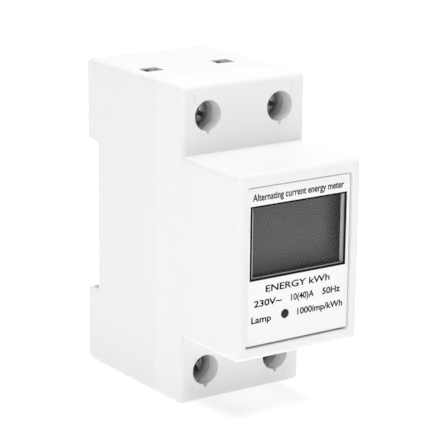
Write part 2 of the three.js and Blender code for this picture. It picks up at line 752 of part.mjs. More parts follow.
// The sliding clip that holds the bottom edge of the rail
function dinClip() {
  const half = clipWidth / 2;
  const gripHalf = clipGripWidth / 2;
  const lugHalf = pocketHalfWidth - clearance;
  const gripTopZ = recessBottom - clipTravel / 2;
  const gripBackY = clipBackY + clipGripDepth;
  const shape = new THREE.Shape();
  shape.moveTo(clipFrontY, clipBottomZ);
  shape.lineTo(clipFrontY, clipTopZ);
  shape.lineTo(clipFrontY + clipThickness / 2, clipTopZ);
  shape.lineTo(clipBackY, clipTopZ - clipThickness);
  shape.lineTo(clipBackY, clipBottomZ);
  const grip = block(-gripHalf, gripHalf, clipBackY - overlap, gripBackY, clipBottomZ, gripTopZ);
  const lug = block(
    -lugHalf, lugHalf, springY - lugHalf, clipFrontY + overlap, lugBottomZ, lugBottomZ + lugThickness,
  );
  const slot = block(
    -clipSlot.halfWidth, clipSlot.halfWidth, clipFrontY - overshoot, rearY + overshoot,
    clipBottomZ + clipSlot.bottom, clipBottomZ + clipSlot.top,
  );
  return plateAlongX(shape, -half, half).add(grip).add(lug).subtract(slot);
}

// The space that the clip's coil spring takes up, as a plain sleeve
function clipSpring() {
  const inner = springRadius - 2 * springWire;
  const points = [
    new THREE.Vector2(inner, 0),
    new THREE.Vector2(springRadius, 0),
    new THREE.Vector2(springRadius, springLength),
    new THREE.Vector2(inner, springLength),
    new THREE.Vector2(inner, 0),
  ];
  const geometry = new THREE.LatheGeometry(points, mediumSides);
  return solid(geometry.rotateX(Math.PI / 2).translate(0, springY, springBottomZ));
}

function caseScrew() {
  const headBackY = caseScrewHeadY + caseScrewHeadThickness;
  const [y0, y1] = [headBackY - caseScrewSlotDepth, headBackY + overshoot];
  const shankEndY = caseScrewHeadY + overlap;
  const head = barAlongY(caseScrewHeadRadius, caseScrewHeadY, headBackY, 0, screwZ, mediumSides);
  const shank = barAlongY(caseScrewRadius, caseScrewTipY, shankEndY, 0, screwZ, smallSides);
  const slot = centredBlock(caseScrewSlotLength, y0, y1, caseScrewSlotWidth, 0, screwZ);
  const cross = centredBlock(caseScrewSlotWidth, y0, y1, caseScrewSlotLength, 0, screwZ);
  return head.add(shank).subtract(slot).subtract(cross);
}

add('rear_base', rearBase(), casePlastic);
add('front_cover', frontCover(), casePlastic);
add('faceplate', faceplate(), labelFilm);
add('window_frame', windowFrame(), blackPlastic);
add('display_window', windowOpening(labelFrontY, labelBackY), clearPane);
displayParts();
boardParts();
boardLink();
currentBars();
add('terminal_retainer_upper', terminalRetainer(1), casePlastic);
add('terminal_retainer_lower', terminalRetainer(-1), casePlastic);
for (const corner of corners) {
  add(`terminal_screw_${corner.name}`, terminalScrew(corner), platedSteel);
  add(`clamp_cage_${corner.name}`, clampCage(corner), brass);
}
add('din_clip', dinClip(), clipPlastic);
add('din_clip_spring', clipSpring(), platedSteel);
add('case_screw', caseScrew(), platedSteel);

export default meter;
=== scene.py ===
# %% [markdown]
# # A rail-mounted electricity meter
#
# The object is a slim white electricity meter, two modules wide, that hooks on a DIN rail. The case
# is two mouldings of white ABS, with a stepped front: the nose carries the label and the display,
# and the two lower steps carry the screw terminals.
#
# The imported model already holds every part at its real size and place. This file loads it, builds a
# finer surface over the parts that show, and gives each part a material made from nodes.

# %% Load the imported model
import json
import math

import bmesh
import bpy
from mathutils import Matrix, Vector


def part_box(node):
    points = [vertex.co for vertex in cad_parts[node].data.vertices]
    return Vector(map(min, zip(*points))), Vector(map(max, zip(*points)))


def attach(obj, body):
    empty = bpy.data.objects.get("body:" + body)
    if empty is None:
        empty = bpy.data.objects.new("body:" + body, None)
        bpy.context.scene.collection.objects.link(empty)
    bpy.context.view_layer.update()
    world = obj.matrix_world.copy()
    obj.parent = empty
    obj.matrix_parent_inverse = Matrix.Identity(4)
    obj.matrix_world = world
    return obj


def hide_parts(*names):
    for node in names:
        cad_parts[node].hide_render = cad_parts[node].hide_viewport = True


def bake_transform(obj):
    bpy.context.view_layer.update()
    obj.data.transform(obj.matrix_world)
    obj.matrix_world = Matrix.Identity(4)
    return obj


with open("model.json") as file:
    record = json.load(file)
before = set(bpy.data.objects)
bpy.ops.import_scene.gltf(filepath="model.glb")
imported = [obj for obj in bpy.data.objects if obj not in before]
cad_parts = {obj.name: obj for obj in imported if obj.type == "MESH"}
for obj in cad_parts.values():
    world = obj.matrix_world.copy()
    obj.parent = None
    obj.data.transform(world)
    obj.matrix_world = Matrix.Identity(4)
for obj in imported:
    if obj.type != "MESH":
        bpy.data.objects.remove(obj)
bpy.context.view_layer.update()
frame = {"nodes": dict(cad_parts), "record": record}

MM = 0.001

# %% [markdown]
# ## Where things are
#
# Places are read from the boxes of the parts, so that nothing has to be fitted by hand. A few sizes
# of the mouldings can't be read from a box, such as the width of the nose, so they have names here.

# %% Planes and sizes of the case
cover_low, cover_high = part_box("front_cover")
base_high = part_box("rear_base")[1]
label_low, label_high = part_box("faceplate")
lcd_low, lcd_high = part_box("lcd_panel")

NOSE_Y = cover_low.y
SEAM_Y = cover_high.y
REAR_Y = base_high.y
TERMINAL_Y = REAR_Y - 43.3 * MM
HALF_WIDTH = cover_high.x
HALF_HEIGHT = cover_high.z

NOSE_HALF_WIDTH = 17.75 * MM
NOSE_HALF_HEIGHT = 22.35 * MM
NOSE_LIFT = 0.15 * MM
EDGE_RADIUS = 1.3 * MM
EDGE_SEGMENTS = 7
SEAM_CHAMFER = 0.14 * MM
SKIN = 1.4 * MM
OVERSHOOT = 1 * MM

print("case from", NOSE_Y / MM, "to", REAR_Y / MM, "mm in depth")

# %% [markdown]
# ## Mesh helpers
#
# Each moulding starts as a plain block, whose edges a bevel rounds. Holes are cut with a Boolean
# modifier, because a hole's wall then comes out as clean as the tool that cut it. The tools have a
# flared mouth, so the cut leaves a small broken edge, as a real mould does.

# %% Blocks with rounded edges
def block(low, high):
    """A box between two corners."""
    bm = bmesh.new()
    low, high = Vector(low), Vector(high)
    place = Matrix.Translation((low + high) / 2) @ Matrix.Diagonal((*(high - low), 1))
    bmesh.ops.create_cube(bm, size=1, matrix=place)
    return bm


def round_edges(bm, radius, segments, chosen):
    """Round the edges that chosen() picks."""
    edges = [edge for edge in bm.edges if chosen(edge)]
    bmesh.ops.bevel(
        bm, geom=edges, offset=radius, segments=segments, profile=0.5, affect="EDGES", material=-1
    )
    return bm


def lies_on(edge, axis, place):
    """True if both ends of the edge are on a plane square to the axis."""
    return all(abs(vert.co[axis] - place) < 1e-6 for vert in edge.verts)


def runs_along(edge, axis):
    """True if the edge is parallel to an axis."""
    along = (edge.verts[1].co - edge.verts[0].co).normalized()
    return abs(along[axis]) > 0.999


X, Y, Z = 0, 1, 2

# %% Turned shapes
FACING_BACK = Matrix.Rotation(math.radians(-90), 4, "X")


def turned(profile, steps, place):
    """Spin a line of (radius, height) points round Z, then put the shape in place."""
    bm = bmesh.new()
    points = [bm.verts.new((radius, 0, height)) for radius, height in profile]
    edges = [bm.edges.new(pair) for pair in zip(points, points[1:])]
    bmesh.ops.spin(
        bm, geom=points + edges, cent=(0, 0, 0), axis=(0, 0, 1), angle=2 * math.pi, steps=steps,
        use_merge=True
    )
    bmesh.ops.remove_doubles(bm, verts=bm.verts, dist=1e-7)
    bmesh.ops.recalc_face_normals(bm, faces=bm.faces)
    bmesh.ops.transform(bm, matrix=place, verts=bm.verts)
    return bm


def arc(centre, radius, start, end, steps):
    """Points on an arc, from one angle in degrees to another."""
    angles = [math.radians(start + (end - start) * step / steps) for step in range(steps + 1)]
    return [(centre[0] + radius * math.cos(a), centre[1] + radius * math.sin(a)) for a in angles]

# %% Join and cut shapes
def temporary(bm):
    """A plain object for a mesh that a Boolean modifier needs."""
    mesh = bpy.data.meshes.new("temporary")
    bm.to_mesh(mesh)
    bm.free()
    piece = bpy.data.objects.new("temporary", mesh)
    bpy.context.scene.collection.objects.link(piece)
    return piece


def combine(body, tool, operation):
    """Join two closed shapes, or cut one with the other."""
    body_piece, tool_piece = temporary(body), temporary(tool)
    modifier = body_piece.modifiers.new("combine", "BOOLEAN")
    modifier.operation = operation
    modifier.solver = "EXACT"
    modifier.object = tool_piece
    result = bmesh.new()
    result.from_object(body_piece, bpy.context.evaluated_depsgraph_get())
    for piece in (body_piece, tool_piece):
        mesh = piece.data
        bpy.data.objects.remove(piece)
        bpy.data.meshes.remove(mesh)
    bmesh.ops.remove_doubles(result, verts=result.verts, dist=1e-7)
    return result

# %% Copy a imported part
def merged_copy(node):
    """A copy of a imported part's mesh, with its loose triangles joined into flat faces."""
    bm = bmesh.new()
    bm.from_mesh(frame["nodes"][node].data)
    bmesh.ops.remove_doubles(bm, verts=bm.verts, dist=1e-6)
    bmesh.ops.dissolve_limit(
        bm, angle_limit=math.radians(0.5), verts=bm.verts, edges=bm.edges, use_dissolve_boundaries=False
    )
    return bm


# %% [markdown]
# A finished piece is shaded smooth, apart from its sharp edges, and a Weighted Normal modifier lets
# the large flat faces keep their own direction, so that only the rounded edges catch the light.

# %% Turn a bmesh into a piece of the object
SHARP_ANGLE = math.radians(32)


def piece_from(bm, name, material, replaced=(), body="case"):
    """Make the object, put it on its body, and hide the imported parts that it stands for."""
    mesh = bpy.data.meshes.new(name)
    bmesh.ops.dissolve_degenerate(bm, dist=1e-8, edges=bm.edges)
    bm.to_mesh(mesh)
    bm.free()
    mesh.shade_smooth()
    mesh.set_sharp_from_angle(angle=SHARP_ANGLE)
    mesh.materials.append(material)
    piece = bpy.data.objects.new(name, mesh)
    bpy.context.scene.collection.objects.link(piece)
    normals = piece.modifiers.new("flat faces stay flat", "WEIGHTED_NORMAL")
    normals.keep_sharp = True
    normals.weight = 100
    if body:
        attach(piece, body)
    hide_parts(*replaced)
    print(name, len(mesh.polygons), "faces")
    return piece


# %% [markdown]
# ## Materials
#
# A colour is written as the hex value that a paint program shows. Shaders need linear light, so one
# function turns the one into the other. A second one adds a node with its settings and its links.

# %% Colour and node helpers
def linear(colour):
    """The linear RGBA of an sRGB hex colour."""
    channels = [int(colour[start:start + 2], 16) / 255 for start in (1, 3, 5)]
    return (*(c / 12.92 if c <= 0.04045 else ((c + 0.055) / 1.055) ** 2.4 for c in channels), 1)


def add_node(material, kind, sockets, **settings):
    """Add a shader node. A socket takes a value, or another node's output to link to."""
    tree = material.node_tree
    node = tree.nodes.new("ShaderNode" + kind)
    for setting, value in settings.items():
        setattr(node, setting, value)
    for socket, value in sockets.items():
        if isinstance(value, bpy.types.NodeSocket):
            tree.links.new(value, node.inputs[socket])
        else:
            node.inputs[socket].default_value = value
    return node


FACTOR, FIRST_COLOUR, SECOND_COLOUR, MIXED_COLOUR = 0, 6, 7, 2


def start_material(name, **values):
    """A material with a Principled shader, and the values that are the same all over it."""
    material = bpy.data.materials.new(name)
    material.use_nodes = True
    shader = material.node_tree.nodes["Principled BSDF"]
    for socket, value in values.items():
        shader.inputs[socket.replace("_", " ")].default_value = value
    place = add_node(material, "TexCoord", {}).outputs["Object"]
    return material, shader, place


def connect(material, output, shader, socket):
    """Link a node's output to one socket of the shader."""
    material.node_tree.links.new(output, shader.inputs[socket])


def per(size):
    """How often a pattern repeats in a metre, which is what a texture's Scale means here."""
    return 1 / size


# %% [markdown]
# ### Moulded ABS
#
# The case is white ABS, injected into a steel mould. The mould was spark-eroded, which leaves a fine
# even grain of about a quarter of a millimetre, and the thick places sink by a few microns as the
# plastic cools. The grain gives the soft sheen, and the sink marks make the reflections a little
# uneven. The grain is drawn at 0.35 mm, because a finer one can't show.

# %% Moulded ABS
GRAIN = 0.35 * MM
SINK = 9 * MM
SINK_DEPTH = 0.02 * MM
MOTTLE = 5 * MM


def moulded_abs(name, light, shade, roughness, grain_depth):
    """White moulded plastic between two close shades, with mould grain and shallow sink marks."""
    material, shader, place = start_material(name, Roughness=roughness, IOR=1.54)
    mottle = add_node(material, "TexNoise", {"Vector": place, "Scale": per(MOTTLE), "Detail": 3})
    colour = add_node(
        material, "Mix",
        {FACTOR: mottle.outputs["Fac"], FIRST_COLOUR: linear(shade), SECOND_COLOUR: linear(light)},
        data_type="RGBA",
    )
    gloss = add_node(
        material, "MapRange",
        {"Value": mottle.outputs["Fac"], "To Min": roughness - 0.05, "To Max": roughness + 0.05},
    )
    sink = add_node(material, "TexNoise", {"Vector": place, "Scale": per(SINK), "Detail": 1})
    grain = add_node(material, "TexNoise", {"Vector": place, "Scale": per(GRAIN), "Detail": 2})
    waves = add_node(material, "Bump", {"Height": sink.outputs["Fac"], "Distance": SINK_DEPTH})
    relief = add_node(
        material, "Bump",
        {"Height": grain.outputs["Fac"], "Distance": grain_depth, "Normal": waves.outputs["Normal"]},
    )
    connect(material, colour.outputs[MIXED_COLOUR], shader, "Base Color")
    connect(material, gloss.outputs["Result"], shader, "Roughness")
    connect(material, relief.outputs["Normal"], shader, "Normal")
    return material


FINE_GRAIN = 0.006 * MM
COARSE_GRAIN = 0.01 * MM
cover_abs = moulded_abs("cover_abs", "#efefef", "#ececec", 0.42, FINE_GRAIN)
# The base's white is a little darker than the cover's. Two mouldings can differ so, but the step also
# stands for the change of light across the seam, so it is partly painted shade.
base_abs = moulded_abs("base_abs", "#ededed", "#eaeaea", 0.44, FINE_GRAIN)
# The inner mouldings are the same ABS in a darker grey: painted shade for the walls deep in the screwdriver
# holes.
inner_abs_painted_shade = moulded_abs("inner_abs_painted_shade", "#cfcfcf", "#c6c6c6", 0.45, FINE_GRAIN)
clip_nylon = moulded_abs("clip_nylon", "#efefec", "#eaeae6", 0.5, COARSE_GRAIN)
print("grain on the ABS repeats every", GRAIN / MM, "mm")

# %% [markdown]
# ### Printed polyester film
#
# The label is polyester film, printed by screen. The white is a layer of ink behind the film, so it
# is very even, and the film's front is satin with a fine stipple.

# %% Printed film and ink
CLOUD = 4 * MM
STIPPLE = 0.2 * MM
STIPPLE_DEPTH = 0.003 * MM


def printed_film(name, light, shade, roughness, index=1.5):
    """Screen-printed film: an even colour, a stippled satin front."""
    material, shader, place = start_material(name, IOR=index)
    cloud = add_node(material, "TexNoise", {"Vector": place, "Scale": per(CLOUD), "Detail": 2})
    colour = add_node(
        material, "Mix",
        {FACTOR: cloud.outputs["Fac"], FIRST_COLOUR: linear(shade), SECOND_COLOUR: linear(light)},
        data_type="RGBA",
    )
    gloss = add_node(
        material, "MapRange",
        {"Value": cloud.outputs["Fac"], "To Min": roughness - 0.04, "To Max": roughness + 0.04},
    )
    stipple = add_node(material, "TexNoise", {"Vector": place, "Scale": per(STIPPLE), "Detail": 1})
    relief = add_node(material, "Bump", {"Height": stipple.outputs["Fac"], "Distance": STIPPLE_DEPTH})
    connect(material, colour.outputs[MIXED_COLOUR], shader, "Base Color")
    connect(material, gloss.outputs["Result"], shader, "Roughness")
    connect(material, relief.outputs["Normal"], shader, "Normal")
    return material


label_film = printed_film("label_film", "#f5f5f6", "#f2f2f3", 0.36)
printing_ink = printed_film("printing_ink", "#0c0c0d", "#080809", 0.6, 1.15)
border_ink = printed_film("border_ink", "#080809", "#050506", 0.4, 1.2)
print("film and inks:", label_film.name, printing_ink.name, border_ink.name)

# %% [markdown]
# ### Display glass and the clear pane
#
# The display is a sandwich of two thin glass sheets under a grey polarising film. With nothing
# switched on it is a plain dark grey. Its colour is painted darker towards the lower and right edges,
# as painted shade from the well around it. The pane in front is clear polycarbonate with a coat
# against glare: light goes straight through, and less than one per cent is mirrored at each face.
# A stronger mirror would also leave grain on the dark display behind it.

# %% Display glass and clear pane
RIGHT_SHADE_FROM, RIGHT_SHADE_TO = 7 * MM, 1 * MM
FOOT_SHADE_FROM, FOOT_SHADE_TO = 8 * MM, 1 * MM
PANE_MIRROR = 0.008


def display_glass():
    """Dark grey polariser, with painted shade towards the sides of its well."""
    material, shader, place = start_material("display_polariser", IOR=1.3)
    split = add_node(material, "SeparateXYZ", {"Vector": place})
    rightward = add_node(
        material, "MapRange",
        {
            "Value": split.outputs["X"],
            "From Min": lcd_high.x - RIGHT_SHADE_FROM,
            "From Max": lcd_high.x - RIGHT_SHADE_TO,
        },
        interpolation_type="SMOOTHSTEP",
    )
    down = add_node(
        material, "MapRange",
        {
            "Value": split.outputs["Z"],
            "From Min": lcd_low.z + FOOT_SHADE_FROM,
            "From Max": lcd_low.z + FOOT_SHADE_TO,
        },
        interpolation_type="SMOOTHSTEP",
    )
    # Painted shade: the grey turns darker towards the right edge, then towards the foot of the display.
    right = add_node(
        material, "Mix",
        {
            FACTOR: rightward.outputs["Result"],
            FIRST_COLOUR: linear("#585858"),
            SECOND_COLOUR: linear("#2a2a2a"),
        },
        data_type="RGBA",
    )
    shaded = add_node(
        material, "Mix",
        {
            FACTOR: down.outputs["Result"],
            FIRST_COLOUR: right.outputs[MIXED_COLOUR],
            SECOND_COLOUR: linear("#3c3c3c"),
        },
        data_type="RGBA",
    )
    haze = add_node(material, "TexNoise", {"Vector": place, "Scale": per(6 * MM), "Detail": 1})
    gloss = add_node(material, "MapRange", {"Value": haze.outputs["Fac"], "To Min": 0.3, "To Max": 0.42})
    connect(material, shaded.outputs[MIXED_COLOUR], shader, "Base Color")
    connect(material, gloss.outputs["Result"], shader, "Roughness")
    return material


def clear_polycarbonate():
    """A thin clear pane: mostly see-through, with a weak mirror on each of its two faces."""
    material, shader, _ = start_material("clear_polycarbonate")
    material.node_tree.nodes.remove(shader)
    mirror = add_node(material, "BsdfGlossy", {"Color": linear("#ffffff"), "Roughness": 0.04})
    clear = add_node(material, "BsdfTransparent", {"Color": linear("#fbfbfb")})
    both = add_node(
        material, "MixShader", {0: PANE_MIRROR, 1: clear.outputs["BSDF"], 2: mirror.outputs["BSDF"]}
    )
    output = material.node_tree.nodes["Material Output"]
    material.node_tree.links.new(both.outputs["Shader"], output.inputs["Surface"])
    return material


smoked_lens = printed_film("smoked_lens", "#121213", "#0c0c0d", 0.25, 1.35)
display_polariser = display_glass()
clear_pane = clear_polycarbonate()
print("shades of the display run from", (lcd_high.x - RIGHT_SHADE_FROM) / MM, "mm to its right edge")

# %% [markdown]
# ### Metals
#
# The clamp screws are steel with a thin plate of nickel, tumbled bright, with fine scratches from
# handling. The cages are brass, the bars are copper, and the spring is drawn steel wire. One
# function makes them all: the metal's colour varies a little, and fine scratches vary the gloss.

# %% Metals
TARNISH = 1.5 * MM
SCRATCH_DEPTH = 0.004 * MM
SCRATCH_STRETCH = 6


def metal(name, light, shade, roughness, scratch):
    """A metal between two shades, whose gloss and relief follow fine scratches."""
    material, shader, place = start_material(name, Metallic=1.0)
    cloud = add_node(material, "TexNoise", {"Vector": place, "Scale": per(TARNISH), "Detail": 4})
    colour = add_node(
        material, "Mix",
        {FACTOR: cloud.outputs["Fac"], FIRST_COLOUR: linear(shade), SECOND_COLOUR: linear(light)},
        data_type="RGBA",
    )
    stretch = add_node(material, "Mapping", {"Vector": place, "Scale": (1, 1, SCRATCH_STRETCH)})
    marks = add_node(
        material, "TexNoise", {"Vector": stretch.outputs["Vector"], "Scale": per(scratch), "Detail": 3}
    )
    gloss = add_node(
        material, "MapRange",
        {"Value": marks.outputs["Fac"], "To Min": roughness - 0.08, "To Max": roughness + 0.1},
    )
    relief = add_node(material, "Bump", {"Height": marks.outputs["Fac"], "Distance": SCRATCH_DEPTH})
    connect(material, colour.outputs[MIXED_COLOUR], shader, "Base Color")
    connect(material, gloss.outputs["Result"], shader, "Roughness")
    connect(material, relief.outputs["Normal"], shader, "Normal")
    return material


nickel_plate = metal("nickel_plate", "#c4c4c2", "#6f6f6d", 0.22, 0.5 * MM)
brass_stamping = metal("brass_stamping", "#d2b163", "#b8954a", 0.34, 0.4 * MM)
copper_bar = metal("copper_bar", "#c98560", "#a8664a", 0.36, 0.5 * MM)
manganin = metal("manganin", "#b49a86", "#9c8270", 0.4, 0.5 * MM)
spring_wire = metal("spring_wire", "#c9c9c9", "#a7a7a7", 0.3, 0.2 * MM)
print("metals:", nickel_plate.name, brass_stamping.name, copper_bar.name, manganin.name, spring_wire.name)

# %% [markdown]
# ### The other plastics, rubber and laminate
#
# Inside are glass-fibre boards under green solder mask, and bought-in electronic parts in epoxy,
# nylon and rubber. The board's mask is glossy over copper tracks, which show as slightly lighter
# lines, so a brick pattern a millimetre wide stands for them.

# %% Inner materials
def coated(name, light, shade, roughness, grain):
    """A moulded or dipped part between two shades, with a grain of its own."""
    material, shader, place = start_material(name, IOR=1.52)
    cloud = add_node(material, "TexNoise", {"Vector": place, "Scale": per(2 * MM), "Detail": 3})
    colour = add_node(
        material, "Mix",
        {FACTOR: cloud.outputs["Fac"], FIRST_COLOUR: linear(shade), SECOND_COLOUR: linear(light)},
        data_type="RGBA",
    )
    gloss = add_node(
        material, "MapRange",
        {"Value": cloud.outputs["Fac"], "To Min": roughness - 0.06, "To Max": roughness + 0.06},
    )
    fine = add_node(material, "TexNoise", {"Vector": place, "Scale": per(grain), "Detail": 2})
    relief = add_node(material, "Bump", {"Height": fine.outputs["Fac"], "Distance": 0.008 * MM})
    connect(material, colour.outputs[MIXED_COLOUR], shader, "Base Color")
    connect(material, gloss.outputs["Result"], shader, "Roughness")
    connect(material, relief.outputs["Normal"], shader, "Normal")
    return material


def solder_mask():
    """Green lacquer over copper tracks on glass-fibre board."""
    material, shader, place = start_material("solder_mask", Roughness=0.28, IOR=1.5)
    upright = add_node(material, "Mapping", {"Vector": place, "Rotation": (math.radians(90), 0, 0)})
    tracks = add_node(
        material, "TexBrick",
        {
            "Vector": upright.outputs["Vector"],
            "Color1": linear("#1f5d39"),
            "Color2": linear("#246a42"),
            "Mortar": linear("#184c2e"),
            "Scale": per(1 * MM),
            "Mortar Size": 0.15,
            "Brick Width": 4.0,
            "Row Height": 1.0,
        },
    )
    weave = add_node(material, "TexNoise", {"Vector": place, "Scale": per(0.5 * MM), "Detail": 2})
    relief = add_node(material, "Bump", {"Height": weave.outputs["Fac"], "Distance": 0.01 * MM})
    connect(material, tracks.outputs["Color"], shader, "Base Color")
    connect(material, relief.outputs["Normal"], shader, "Normal")
    return material


finishes = {
    "case_plastic": inner_abs_painted_shade,
    "label_film": label_film,
    "black_plastic": coated("black_nylon", "#1a1a1b", "#121213", 0.45, 0.3 * MM),
    "clear_pane": clear_pane,
    "display_glass": display_polariser,
    "lamp_plastic": coated("lamp_epoxy", "#3a1413", "#2c0e0d", 0.2, 0.6 * MM),
    "board_laminate": solder_mask(),
    "plated_steel": nickel_plate,
    "brass": brass_stamping,
    "copper": copper_bar,
    "shunt_alloy": manganin,
    "capacitor_yellow": coated("capacitor_epoxy", "#d9b338", "#c9a22c", 0.4, 0.5 * MM),
    "disc_blue": coated("varistor_epoxy", "#35609f", "#2c528b", 0.35, 0.7 * MM),
    "dark_plastic": coated("moulded_epoxy", "#2a2a2c", "#1e1e20", 0.55, 0.15 * MM),
    "resistor_body": coated("resistor_lacquer", "#8fa3a6", "#80959a", 0.45, 0.5 * MM),
    "grey_rubber": coated("grey_rubber", "#8d8e90", "#7d7e80", 0.7, 0.25 * MM),
    "clip_plastic": clip_nylon,
}

for part in frame["record"]["subparts"]:
    node = frame["nodes"][part["node"]]
    node.data.materials.clear()
    node.data.materials.append(finishes[part["material_slot"]])
print(len(finishes), "finishes for", len(frame["nodes"]), "nodes")

# %% [markdown]
# ## The front cover
#
# The cover is one moulding. Its outside is two rounded blocks: the low one with the terminals, and
# the nose. The inside has bosses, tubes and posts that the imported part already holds, so the space
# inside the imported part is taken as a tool, and cut out of the new skin.

# %% The front cover's rounded skin
terminals = block((-HALF_WIDTH, TERMINAL_Y, -HALF_HEIGHT), (HALF_WIDTH, SEAM_Y, HALF_HEIGHT))
round_edges(terminals, EDGE_RADIUS, EDGE_SEGMENTS, lambda edge: not lies_on(edge, Y, SEAM_Y))
round_edges(terminals, SEAM_CHAMFER, 1, lambda edge: lies_on(edge, Y, SEAM_Y))

nose_low = Vector((-NOSE_HALF_WIDTH, NOSE_Y, NOSE_LIFT - NOSE_HALF_HEIGHT))
nose_high = Vector((NOSE_HALF_WIDTH, TERMINAL_Y + 3 * MM, NOSE_LIFT + NOSE_HALF_HEIGHT))
nose = block(nose_low, nose_high)
round_edges(nose, EDGE_RADIUS, EDGE_SEGMENTS, lambda edge: not lies_on(edge, Y, nose_high.y))
cover = combine(terminals, nose, "UNION")

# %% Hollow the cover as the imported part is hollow
skin = Vector((SKIN, SKIN, SKIN))
low = Vector((-HALF_WIDTH, TERMINAL_Y, -HALF_HEIGHT)) + skin
high = Vector((HALF_WIDTH - SKIN, SEAM_Y + OVERSHOOT, HALF_HEIGHT - SKIN))
space = block(low, high)
nose_space = block(nose_low + skin, (nose_high.x - SKIN, TERMINAL_Y + 2 * SKIN, nose_high.z - SKIN))
space = combine(space, nose_space, "UNION")
space = combine(space, merged_copy("front_cover"), "DIFFERENCE")
cover = combine(cover, space, "DIFFERENCE")
print("cover:", len(cover.faces), "faces after hollowing")

# %% [markdown]
# ### Screwdriver holes
#
# Each terminal has a round hole for a screwdriver, with a small pointed notch at its foot. The hole's
# tool is a profile spun round the screw's axis, and its mouth flares by a fraction of a millimetre.

# %% Cut the screwdriver holes
BORE_RADIUS = 3.71 * MM
BORE_DEPTH = 4.4 * MM
BORE_LIP = 0.16 * MM
NOTCH_TIP = 4.65 * MM
NOTCH_HALF_WIDTH = 0.85 * MM
NOTCH_TIP_HALF = 0.12 * MM
NOTCH_OVERLAP = 0.6 * MM
ROUND_STEPS = 72

screw_boxes = {
    name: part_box(f"terminal_screw_{name}")
    for name in ("upper_left", "upper_right", "lower_left", "lower_right")
}
screw_axes = {name: (low + high) / 2 for name, (low, high) in screw_boxes.items()}


def along_y(centre, y):
    """The place of a shape that was turned round Z and now points back along Y."""
    return Matrix.Translation((centre.x, y, centre.z)) @ FACING_BACK


def bore_tool(centre):
    """A screwdriver hole with a flared mouth and a notch."""
    mouth = arc((BORE_RADIUS + BORE_LIP, BORE_LIP), BORE_LIP, 270, 180, 4)
    profile = [(0, -OVERSHOOT), (BORE_RADIUS + BORE_LIP, -OVERSHOOT), *mouth, (BORE_RADIUS, BORE_DEPTH)]
    tool = turned([*profile, (0, BORE_DEPTH)], ROUND_STEPS, along_y(centre, TERMINAL_Y))
    notch = bmesh.new()
    start = BORE_RADIUS - NOTCH_OVERLAP
    corners = [
        (-NOTCH_HALF_WIDTH, start), (NOTCH_HALF_WIDTH, start),
        (NOTCH_TIP_HALF, NOTCH_TIP), (-NOTCH_TIP_HALF, NOTCH_TIP),
    ]
    front = [
        notch.verts.new((centre.x + x, TERMINAL_Y - OVERSHOOT, centre.z - down)) for x, down in corners
    ]
    face = notch.faces.new(front)
    grown = bmesh.ops.extrude_face_region(notch, geom=[face])["geom"]
    moved = [item for item in grown if isinstance(item, bmesh.types.BMVert)]
    bmesh.ops.translate(notch, verts=moved, vec=(0, OVERSHOOT + BORE_DEPTH, 0))
    bmesh.ops.recalc_face_normals(notch, faces=notch.faces)
    return combine(tool, notch, "UNION")


for centre in screw_axes.values():
    cover = combine(cover, bore_tool(centre), "DIFFERENCE")
print("cover:", len(cover.faces), "faces with its four holes")

# %% [markdown]
# ### The label's recess and the window
#
# The label lies in a shallow recess with rounded corners. Its tool is a block with rounded corners
# whose front face is pushed out and widened, which breaks the recess's edge. A narrow slot under
# the label's lower edge, another over its upper edge and the window are cut deeper.

# %% Cut the recess, the window and the lamp hole
RECESS_GAP_SIDE = 0.28 * MM
RECESS_GAP_TOP = 0.38 * MM
RECESS_GAP_BOTTOM = 0.5 * MM
RECESS_CORNER = 0.7 * MM
RECESS_LIP = 0.12 * MM
SLOT_END = 0.3 * MM
SLOT_PLAY = 0.02 * MM
SLOT_UNDER = 0.05 * MM
WELL_LEFT, WELL_RIGHT = 1.08 * MM, 0.62 * MM
WELL_BOTTOM, WELL_TOP = 0.56 * MM, 0.3 * MM


def flared_block(low, high, corner, lip, face_y):
    """A tool along Y with rounded corners, and a mouth that widens by lip at the face."""
    bm = block((low[X], face_y + lip, low[Z]), (high[X], high[Y], high[Z]))
    if corner:
        round_edges(bm, corner, 6, lambda edge: runs_along(edge, Y))
    front = min(bm.faces, key=lambda face: face.calc_center_median().y)
    centre = front.calc_center_median()
    width, height = high[X] - low[X], high[Z] - low[Z]
    for depth, growth in ((lip, lip), (OVERSHOOT, 0)):
        grown = bmesh.ops.extrude_face_region(bm, geom=[front])["geom"]
        bmesh.ops.delete(bm, geom=[front], context="FACES")
        moved = [item for item in grown if isinstance(item, bmesh.types.BMVert)]
        front = next(item for item in grown if isinstance(item, bmesh.types.BMFace))
        bmesh.ops.translate(bm, verts=moved, vec=(0, -depth, 0))
        widen = (1 + 2 * growth / width, 1, 1 + 2 * growth / height)
        bmesh.ops.scale(bm, verts=moved, vec=widen, space=Matrix.Translation(-centre))
    bmesh.ops.recalc_face_normals(bm, faces=bm.faces)
    return bm


recess_low = (label_low.x - RECESS_GAP_SIDE, NOSE_Y, label_low.z - RECESS_GAP_BOTTOM)
recess_high = (label_high.x + RECESS_GAP_SIDE, label_high.y, label_high.z + RECESS_GAP_TOP)
cover = combine(
    cover, flared_block(recess_low, recess_high, RECESS_CORNER, RECESS_LIP, NOSE_Y), "DIFFERENCE"
)
slot_low = (label_low.x + SLOT_END, label_high.y - OVERSHOOT, recess_low[Z] + SLOT_PLAY)
slot_high = (label_high.x - SLOT_END, label_high.y + 2 * MM, label_low.z + SLOT_UNDER)
cover = combine(cover, block(slot_low, slot_high), "DIFFERENCE")
gap_low = (label_low.x + SLOT_END, label_high.y - OVERSHOOT, label_high.z - SLOT_UNDER)
gap_high = (label_high.x - SLOT_END, label_high.y + 1 * MM, recess_high[Z] - SLOT_PLAY)
cover = combine(cover, block(gap_low, gap_high), "DIFFERENCE")

window_low, window_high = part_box("window_frame")
well_low = (window_low.x + WELL_LEFT, label_high.y - OVERSHOOT, window_low.z + WELL_BOTTOM)
well_high = (window_high.x - WELL_RIGHT, lcd_low.y, window_high.z - WELL_TOP)
cover = combine(cover, block(well_low, well_high), "DIFFERENCE")

